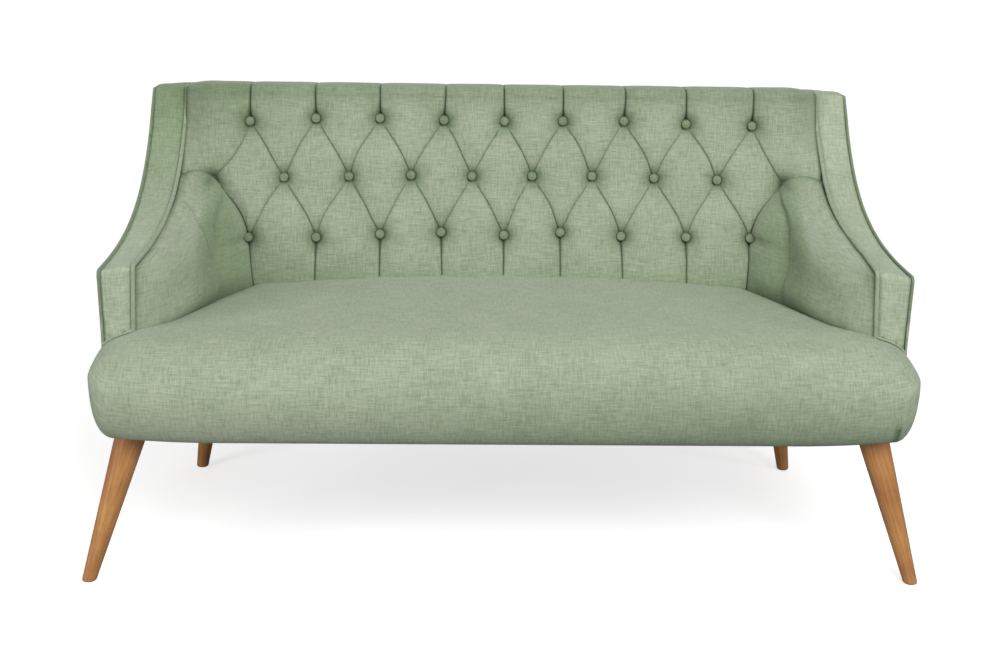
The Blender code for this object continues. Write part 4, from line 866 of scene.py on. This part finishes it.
def inside_arm(name, side):
    """The inside of an arm, as nearly level sections from the seat up.

    Each runs from the welt to a crease in the corner, and on to the pleat beside the last buttons.
    Both lengths swell out. The upper edge arches from the welt to the hidden tuft, and the cover
    rolls in below it like a shoulder. At its foot it rolls under, down to the seat.
    """
    rows = crowded(np.linspace(0, 1, 84), 0.55)[None]
    first, second = np.linspace(0, 1, 96)[:, None] ** 1.25, np.linspace(0, 1, 34)[1:, None]
    share, beyond = np.vstack([first, 1 + 0 * second]), np.vstack([0 * first, second])
    tuft_z = CORNER[-1][0]
    top_z = tuft_z + ARCH_HEIGHT * np.sin(share * pi)
    z = ARM_FOOT_Z + (top_z - ARM_FOOT_Z) * rows
    plan, tuft = arm_plan(side, share, beyond, rows, z, top_z)

    way = np.gradient(plan, axis=0)
    normal = unit(stacked(-way[..., 1], way[..., 0]))
    normal *= np.sign(-normal[40, 40, 0])
    upper = rows[..., None] ** 3
    normal = normal * (1 - upper) + np.array([-0.90, -0.43]) * upper
    height = top_z - ARM_FOOT_Z
    from_top, from_low = (1 - rows) * height, rows * height
    top_roll = np.sqrt(1 - ramp(rows, 0.82, 1.0) ** 2)
    under = 1 - fade(from_low, 0.010)
    along = np.sqrt(1 - (1 - np.clip(share / 0.24, 0, 1)) ** 2)
    along = along * np.clip(np.sin(share * pi), 0, 1) ** np.where(share < 0.5, 0.05, 0.55)
    swell = ARM_SWELL * along * top_roll * under * (1 + 0.3 * peak(rows - 0.80, 0.10) * share)
    overhang = ARM_OVERHANG * peak(from_low - 0.030, 0.020) * np.clip(share * 1.6 - 0.4, 0, 1) * (1 - beyond)
    cushion = CORNER_SWELL * np.sin(beyond * pi) * np.sin(ramp(rows, 0, 0.92) * pi) ** 0.5 * under
    wrinkle, faint_wrinkle = [nearness(share * 0.30, z, *drawn) for drawn in ARM_WRINKLES]
    wrinkle = wrinkle * (1 if side < 0 else 0.4)
    uneven = 0.0012 * gentle(plan[..., 1], z, 0.10, 41 + side) * ramp(from_top, 0, 0.02)
    pucker = 0.0004 * np.sin(z * 2 * pi / 0.0105 + plan[..., 1] * 500) * fade(share * 0.3, 0.008) * (1 - rows**6)
    out = swell + overhang + cushion + uneven + pucker - 0.0013 * wrinkle - 0.0010 * faint_wrinkle
    plan = plan + normal * out[..., None]
    plan[..., 0] = np.minimum(plan[..., 0], PAD_EDGE_X + 0.004)
    points = outwards(stacked(side * plan[..., 0], plan[..., 1], z)) * (side, 1, 1)
    behind = ramp(share + beyond, 0.35, 0.65)
    closing = []
    for row in (points[:, 0], points[:, -1]):
        outside = row * (0, 1, 1) + (INSIDE_X - 0.0006, 0, 0)
        closing.append((outside * (1 - behind) + (row + (0.003, 0.010, 0)) * behind)[:, None])

    # Painted shade: at the foot over the seat, over the far part towards the back, along the welt's seam, along the
    # upper fold, round the hidden tuft and in the wrinkles.
    far = eased(ramp(share + beyond * 0.2, 0.34, 0.86))
    foot = 0.97 * fade(from_low, 0.012 + 0.012 * far) * ramp(share, 0.10, 0.45) * (1 - 0.35 * beyond)
    inner = 0.48 * far * (1 - 0.5 * beyond) * (1 - ramp(rows, 0.55, 0.90) ** 2 * (0.9 - 0.5 * share))
    seam = 0.88 * fade(share * 0.32, 0.0030)
    tuft_far = np.hypot(plan[..., 0] - tuft, z - tuft_z)
    close = fade(tuft_far, 0.02)
    painted_fold_shade = (0.7 + 0.25 * close) * fade(from_top, 0.0018 + 0.0022 * close)
    painted_fold_shade = painted_fold_shade + 0.45 * fade((1 - beyond) * 0.05, 0.0020) * (beyond > 0)
    painted_shade = layered(foot, inner, seam, painted_fold_shade, 0.70 * fade(tuft_far, 0.014), 0.45 * wrinkle, 0.20 * faint_wrinkle)
    painted_shade = np.pad(painted_shade[:, ::-1], ((0, 0), (0, 2)))
    points = np.hstack([points[:, ::-1], *closing]) * (side, 1, 1)
    length = run_length(plan[:, 30])[:, None]
    uv = stacked(length, z + 0.004 * gentle(length, z, 0.2, 77))[:, ::-1]
    uv = np.hstack([uv, uv[:, -1:] - (0, 0.02), uv[:, -1:] - (0, 0.3), uv[:, :1]])
    return surface(name, points, uv, painted_shade=painted_shade, flipped=side > 0)


# A copy of the cloth painted a little lighter, standing in for more light on the inside arms.
arm_linen_painted_lighter = linen("arm_linen_painted_lighter", 1.07)
for side, hand in SIDES:
    pad = dress(inside_arm(f"inside_arm_cover_{hand}", side), arm_linen_painted_lighter, "sage_cloth", f"arm_pad_{hand}")

# Back
#
# The deep-buttoned back is foam and wadding on the leaning board. The cover is folded into pleats
# between the buttons: diamonds over the middle, and straight folds to the seat and over the top.

BACK_TOP_Z = 0.7535
BACK_TOP_CROWN = 0.007
BACK_TOP_ROLL = 0.022
BACK_REAR_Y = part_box("back_pad")[1].y - 0.001
BACK_REAR_Z = (0.7480, 0.740, 0.736)
CELLS = 28  # cells of the cover in half the spacing of two buttons
LOW_CELLS, HIGH_CELLS, SIDE_CELLS = 24, 16, 22  # cells below the low row, above the top row and beside the tufts
CROWDING = 0.62  # how far the cells are drawn towards the pleats
PLEAT_SPACING = 0.1014  # distance between two parallel slanting pleats
CRACKS = (0.0034, 0.0022)  # depth of the slanting pleats that fall and that rise to the right
PILLOW_EDGE = 0.034  # distance from a pleat at which a pillow has its full height


def tuft_row(v, last):
    """Places of a row of tufts, left to right, numbered from -last to last."""
    numbers = np.arange(-last, last + 0.5)
    return stacked(*cover_place(numbers, v + 0 * numbers))


TUFTS = np.vstack([tuft_row(1.0, LAST_TUFT), tuft_row(0.5, LAST_TUFT + 0.5), tuft_row(0.0, LAST_TUFT)])
HIDDEN_TUFTS = (9, 18)  # the middle row's ends, behind the arm pads
LAST_MIDDLE_TUFT = 17


def off_pleat(number):
    """Signed distance from the nearest whole number, in metres of cover."""
    return (number - np.round(number)) * PLEAT_SPACING


def round_buttons(x, z):
    """Distance to the nearest button, distance to the nearest button's painted shade, which sits a little up and to the
    right of it, and the puckers round the nearest.
    """
    to_button, to_shade, pucker = np.ones(x.shape), np.ones(x.shape), np.zeros(x.shape)
    chance = np.random.default_rng(12)
    for button_x, button_z in TUFTS:
        across, up = x - button_x, (z - button_z) / math.cos(BACK_LEAN)
        far = np.hypot(across, up)
        to_shade = np.minimum(to_shade, np.hypot(across - 0.0028, up - 0.0022))
        phase, count = chance.uniform(0, 6.28), chance.integers(7, 12)
        near = far < to_button
        to_button = np.where(near, far, to_button)
        pucker = np.where(near, peak(far - 0.018, 0.010) * np.cos(np.arctan2(up, across) * count + phase), pucker)
    return to_button, to_shade, pucker


def stuffing(u, v, x, z):
    """How far the cover stands in front of the buttoning plane, and the painted shade that darkens its folds.

    It is nothing at a button and rises round it as an exponential. A pleat's floor lies a little
    below the pillows, which round over into it as a cubic. The pleat itself is a thin crack, deeper
    in the folds that run down to the right, and widest beside a button in the straight folds. Short
    puckers spread round the buttons. Behind the arm pads the cover lies back on the board.
    """
    tufted = (v >= 0) & (v <= 1)
    corner = np.clip(np.abs(x) - HIDDEN_TUFT_X + np.where(x < 0, 0, RIGHT_PAD_SHIFT), 0, None)
    end = np.clip(u, -LAST_TUFT - 0.5, LAST_TUFT + 0.5)
    falling = off_pleat(end + v)
    to_falling, to_rising = np.abs(falling), np.abs(off_pleat(end - v))
    to_straight = np.abs(u - np.clip(np.round(u), -LAST_TUFT, LAST_TUFT)) * PLEAT_SPACING
    to_slant = np.minimum(to_falling, to_rising) * (1 + 1.1 * ramp(corner, 0, 0.02))
    to_pleat = np.where(tufted, to_slant, to_straight)
    to_button, to_shade, pucker = round_buttons(x, z)
    near_button = fade(to_button, 0.016)
    last_x, last_z = TUFTS[LAST_MIDDLE_TUFT]
    wrinkle = [(last_x - 0.007, last_z + 0.008), (last_x - 0.020, last_z + 0.0130), (last_x - 0.040, last_z + 0.0150)]
    wrinkle = nearness(x, z, wrinkle, 0.0008)

    floor = PLEAT_LEVEL * rise(to_button)
    swell = 1 - (1 - ramp(to_pleat, 0, PILLOW_EDGE)) ** 3
    height = PILLOW_HEIGHT * (floor + (rise(to_button + 0.004) - floor) * swell)
    height += PILLOW_HEIGHT * 0.06 * gentle(x, z, 0.11, 17) * swell
    slant = CRACKS[0] * fade(to_falling, 0.0009) + CRACKS[1] * fade(to_rising, 0.0009)
    slant = slant * np.clip(to_button / 0.02, 0.3, 1)
    straight = 0.0032 + 0.0140 * near_button + 0.0050 * np.clip(v - 1.4, 0, 1)
    straight = straight * fade(to_straight, 0.0008 + 0.0026 * near_button)
    height -= np.where(tufted, slant, straight)
    lift = np.sign(falling) * fade(to_falling, 0.006) * ramp(to_falling, 0, 0.0004)
    height += np.where(tufted & (corner <= 0), 0.0008 * lift, 0) * np.clip(to_button / 0.02 - 0.5, 0, 1)
    height += 0.0005 * pucker - 0.0008 * wrinkle
    hidden = np.where(v < 0, np.abs(u) - LAST_TUFT, np.where(v < 0.5, np.abs(end) - v - LAST_TUFT, -1))
    hidden = np.where((corner > 0) & (v < 0.5), np.maximum(hidden, 0.5 - v), hidden)

    # Painted shade: along the pleats, towards the top edge and the seat, over the upper outer parts mostly on the left,
    # round the buttons a little up and to the right, along the seams beside the arm pads, and in the wrinkle.
    line = np.maximum(0.78 * fade(to_falling, 0.0008), 0.62 * fade(to_rising, 0.0007))
    line = line * np.clip((to_button - 0.009) / 0.012, 0.1, 1)
    line = np.where(tufted, line, peak(to_straight, 0.0012 + 0.0040 * near_button))
    edges = 0.34 * fade(np.abs(z - 0.745), 0.014) + 0.40 * fade(z - SEAT_EDGE_Z, 0.040)
    high = ramp(z, 0.60, 0.70) * np.where(x < 0, 0.24, 0.03) * ramp(np.abs(x), 0.36, 0.48)
    beside_arm = (np.abs(u) > LAST_TUFT + 0.2) & (np.abs(v - 0.5) < 0.3)
    round_button = 0.76 * fade(to_shade - 0.0060, np.where(beside_arm, 0.016, 0.0105))
    seam = 0.75 * fade(pad_edge(x) - 0.0036 - np.abs(x), 0.0018) * (z > 0.60)
    painted_shade = layered(line * 0.8, round_button, edges, high, seam, 0.45 * wrinkle)
    return height - np.clip(hidden * PLEAT_SPACING / 0.004, 0, 1) * (height + 0.012), painted_shade


def back_cover():
    """The buttoned cover, as columns from the seat up its front, over the top and down behind.

    The cells are drawn towards the pleats by taking a sine from both slanting directions, and the
    cells that a pleat crosses are split along it.
    """
    steps = 2 * CELLS
    half = (2 * LAST_TUFT + 1) * CELLS
    u = np.arange(-half, half + 1)[:, None] / steps
    v = np.arange(steps + 1)[None] / steps
    sums, differences = crowded(u + v, CROWDING), crowded(u - v, CROWDING)
    tuft_u = np.pad((sums + differences) / 2, ((0, 0), (LOW_CELLS, HIGH_CELLS)), mode="edge")
    low_v = np.repeat(np.linspace(-1, 0, LOW_CELLS + 1)[None, :-1], len(u), 0)
    high_v = np.repeat(np.linspace(1, 2, HIGH_CELLS + 1)[None, 1:], len(u), 0)
    row_v = np.hstack([low_v, (sums - differences) / 2, high_v])
    x, z = cover_place(tuft_u, row_v)
    outer = np.linspace(0, 1, SIDE_CELLS + 1)[1:, None]
    left_x, right_x = [x[[end]] + (sign * pad_edge(sign) - x[[end]]) * outer for end, sign in ((0, -1), (-1, 1))]
    arch = ARCH_HEIGHT * np.sin(outer * pi) * np.clip(1 - np.abs(row_v[-1:] - 0.5) / 0.45, 0, 1) ** 1.5
    x = np.vstack([left_x[::-1], x, right_x])
    z = np.vstack([(z[:1] + arch)[::-1], z, z[-1:] + arch])
    beyond = LAST_TUFT + 0.5 + outer * 0.45 + 0 * row_v[:1]
    tuft_u = np.vstack([-beyond[::-1], tuft_u, beyond])
    row_v = np.pad(row_v, ((SIDE_CELLS, SIDE_CELLS), (0, 0)), mode="edge")
    height, painted_shade = stuffing(tuft_u, row_v, x, z)
    y = rolled_y(x, z, height)

    swell = np.clip(height[:, -1:] / PILLOW_HEIGHT, 0, 1.1)
    turn = np.linspace(0, pi / 2, 15)[1:]
    past = np.clip((np.abs(x[:, -1:]) - 0.530) / 0.054, 0, 1)
    peak_z = BACK_TOP_Z + 0.0005 + BACK_TOP_CROWN * (swell - 0.12)
    peak_z = peak_z + (ARM_CREST[1] + 0.0002 - peak_z) * past**2
    roll_y = y[:, -1:] + BACK_TOP_ROLL * (1 - np.cos(turn))
    roll_z = z[:, -1:] + (peak_z - z[:, -1:]) * np.sin(turn)
    run = np.linspace(0, 1, 16)[1:]
    flat_y = roll_y[:, -1:] + (BACK_REAR_Y - roll_y[:, -1:]) * run
    flat_z = peak_z - (peak_z - BACK_REAR_Z[0]) * run**2.2
    down_z = np.hstack([np.array([BACK_REAR_Z[1:]] * len(x)), np.full((len(x), 1), BACK_REAR_Z[-1]), z[:, :1]])
    down_y = np.hstack([np.full((len(x), 2), BACK_REAR_Y), crease_y(down_z[:, 2:]) + BOARD_FRONT])
    front = z.shape[1]
    fall = z / math.cos(BACK_LEAN)
    y, z = np.hstack([y, roll_y, flat_y, down_y]), np.hstack([z, roll_z, flat_z, down_z])
    behind = y.shape[1] - front
    x = np.pad(x, ((0, 0), (0, behind)), mode="edge")
    over = np.cumsum(np.hypot(np.diff(y, axis=1), np.diff(z, axis=1))[:, front - 1 :], axis=1)
    uv = stacked(x, np.hstack([fall, fall[:, -1:] + over]))
    uv = np.hstack([uv, uv[:, -1:] + (0, 0.03)])
    column = np.arange(len(x) - 1)[:, None] - SIDE_CELLS - half
    row = np.arange(x.shape[1]) - LOW_CELLS
    slanting = (row >= 0) & (row < steps)
    split = np.where(slanting & ((column - row) % steps == 0), 1, 0)
    split = np.where(slanting & ((column + row + 1) % steps == 0), 2, split)
    # The painted shade of the front's top row carries over the top and fades out behind.
    top = painted_shade[:, -1:] * np.clip(1.35 - 1.35 * np.linspace(0, 1, behind), 0, 1) ** 2
    return surface("back_cover", stacked(x, y, z), uv, split, np.hstack([painted_shade, top]))


back = dress(back_cover(), sage_linen, "sage_cloth", "back_pad")

# Buttons
#
# Metal shells covered in the same cloth, pulled into the back with twine. Nine sit in the top row,
# eight between them in the middle row and nine in the low row.

BUTTON_RADIUS = 0.0088
BUTTON_RIM = 0.0026
BUTTON_SEAT = 0.0058  # how far a button's back stands in front of the buttoning plane


def covered_buttons():
    """Each button as a surface of revolution: a rounded rim and a domed face, square to the lean."""
    rim = np.linspace(-pi / 2, pi / 2, 11)
    dome = np.linspace(BUTTON_RADIUS - 0.0030, 0.0004, 9)
    radius = np.hstack([[0.0020, 0.005], BUTTON_RADIUS - BUTTON_RIM * (1 - np.cos(rim)), dome])
    height = np.hstack([[-0.0055, -0.002], 0.0024 * (1 + np.sin(rim)), 0.0048 + 0.0018 * (1 - (dome / dome[0]) ** 2)])
    # Painted shade on each button: its face darkened, its rim more.
    painted_shade = 0.43 + 0.42 * ramp(radius, BUTTON_RADIUS - BUTTON_RIM, BUTTON_RADIUS)
    turn = np.linspace(0, 2 * pi, 33)
    across, up = radius[:, None] * np.cos(turn), radius[:, None] * np.sin(turn)
    cut = stacked(across, up)
    painted_shade = painted_shade[:, None] + 0 * across[:, :-1]
    chance = np.random.default_rng(4)
    made = []
    for number, (x, z) in enumerate(np.delete(TUFTS, HIDDEN_TUFTS, axis=0)):
        nod, yaw, sink = chance.normal(0, 0.05), chance.normal(0, 0.05), chance.normal(0, 0.0004)
        face = height[:, None] + across * yaw + up * nod + BUTTON_SEAT + sink
        y = crease_y(z) - face * math.cos(BACK_LEAN) + up * math.sin(BACK_LEAN)
        grid = stacked(x + across, y, z + up * math.cos(BACK_LEAN) + face * math.sin(BACK_LEAN))
        made.append(surface(f"button_{number}", grid[:, :-1], cut + number * 0.031, painted_shade=painted_shade))
    return made


parts = covered_buttons()
with bpy.context.temp_override(active_object=parts[0], selected_editable_objects=parts, object=parts[0]):
    bpy.ops.object.join()
buttons = parts[0]
buttons.name = "covered_buttons"
dress(buttons, sage_linen, "sage_cloth", *[name for name in nodes if name.startswith("button_")])

# Outside back
#
# One flat panel of the cloth closes the rear. It is folded under at the top and sides, and sewn
# and stapled there.


def outside_back():
    """A panel that leans forward towards its foot, bowed out a little between its folded edges."""
    low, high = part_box("outside_back")
    across = np.linspace(-1, 1, 120)[:, None]
    up = np.linspace(0, 1, 60)[None]
    corner = 0.0065 * ramp(np.abs(across), 0.90, 1.0) ** 2
    x = (HALF_WIDTH - 0.002) * across + 0 * up
    z = low.z + (high.z - corner - low.z) * up
    near_edge = np.minimum((1 - np.abs(across)) * HALF_WIDTH, np.minimum(up, 1 - up) * 0.486)
    fold = 0.0016 * np.clip(1 - near_edge / 0.004, 0, 1) ** 2
    bow = 0.0015 * (1 - across**2) * np.sin(up * pi)
    flat = high.y - (high.z - z) * math.tan(REAR_LEAN)
    y = flat - 0.0005 + bow - fold + 0.0003 * gentle(x, z, 0.25, 55)
    points = np.hstack([stacked(x, y, z), stacked(x, flat - 0.003, z)[:, ::-1]])
    uv = stacked(x, z)
    return surface("outside_back_cover", points, np.hstack([uv, uv[:, ::-1], uv[:, :1]]), flipped=True)


dress(outside_back(), sage_linen, "sage_cloth", "outside_back")

# Stage
#
# A white paper floor that glows to white far off, four soft lamps round the sofa, a pale sky, and
# the camera that fits the photograph.

FLOOR_REACH = 30
PHOTO_WIDTH = 1000
FOCAL_LENGTH = 1585  # in the photograph's pixels
SOFA_MIDDLE = (0, 0, 0.45)

floor_corners = [(x * FLOOR_REACH, y * FLOOR_REACH, 0) for x, y in ((-1, -1), (1, -1), (1, 1), (-1, 1))]
floor_mesh = bpy.data.meshes.new("floor")
floor_mesh.from_pydata(floor_corners, [], [(0, 1, 2, 3)])
floor = bpy.data.objects.new("floor", floor_mesh)
bpy.context.scene.collection.objects.link(floor)
paper, paper_tree, paper_shader = new_finish("white_paper")
seen = shader_value(paper_tree, "LightPath", "Is Camera Ray")
paper_place = shader_value(paper_tree, "TexCoord", "Object")
paper_far = shader_value(paper_tree, "VectorMath", "Value", {"operation": "LENGTH"}, i0=paper_place)
paper_far = paper_far.ranged(0.0, 1.0, {"interpolation_type": "SMOOTHSTEP"}, From_Min=0.9, From_Max=2.8)
paper_level = seen.ranged(0.35, 0.88) * (paper_far * -1.0 + 1.0)
paper_tone = shader_value(paper_tree, "CombineColor", Red=paper_level, Green=paper_level, Blue=paper_level)
set_inputs(
    paper_tree, paper_shader, Base_Color=paper_tone, Roughness=0.9, Specular_IOR_Level=0.0,
    Emission_Color=(1, 1, 1, 1), Emission_Strength=paper_far.ranged(0.60, 1.02) * seen,
)
floor_mesh.materials.append(paper)

world = bpy.data.worlds.new("studio")
world.use_nodes = True
bpy.context.scene.world = world
sky_tree = world.node_tree
sky_seen = shader_value(sky_tree, "LightPath", "Is Camera Ray")
sky_seen = sky_seen.math("MAXIMUM", shader_value(sky_tree, "LightPath", "Is Glossy Ray"))
set_inputs(sky_tree, sky_tree.nodes["Background"], Color=(1, 1, 1, 1), Strength=sky_seen * 0.72 + 0.28)


def soft_box(name, place, aim, width, height, watts):
    """A rectangular lamp that faces a point."""
    lamp = bpy.data.lights.new(name, "AREA")
    lamp.shape, lamp.size, lamp.size_y, lamp.energy = "RECTANGLE", width, height, watts
    made = bpy.data.objects.new(name, lamp)
    bpy.context.scene.collection.objects.link(made)
    made.location = place
    way = np.array(place) - np.array(aim)
    flat = math.hypot(way[0], way[1])
    made.rotation_euler = (math.atan2(flat, way[2]), 0, math.atan2(way[1], way[0]) + pi / 2)


soft_box("front_softbox", (1.0, -3.3, 2.2), SOFA_MIDDLE, 2.0, 1.4, 92)
soft_box("left_softbox", (-2.8, -2.4, 1.2), SOFA_MIDDLE, 1.3, 1.3, 42)
soft_box("right_softbox", (3.0, -1.8, 1.8), SOFA_MIDDLE, 1.4, 1.4, 15)
soft_box("top_softbox", (0.2, -0.8, 3.4), (0, 0, 0.4), 2.6, 1.8, 16)

camera_data = bpy.data.cameras.new("camera")
camera = bpy.data.objects.new("camera", camera_data)
bpy.context.scene.collection.objects.link(camera)
camera_data.sensor_width = 36
camera_data.lens = FOCAL_LENGTH * camera_data.sensor_width / PHOTO_WIDTH
camera.location = (-0.0793, -2.6971, 1.0884)
camera.rotation_euler = (1.304779, -0.014617, -0.024327)
bpy.context.scene.camera = camera

bpy.context.scene.view_settings.view_transform = "Standard"
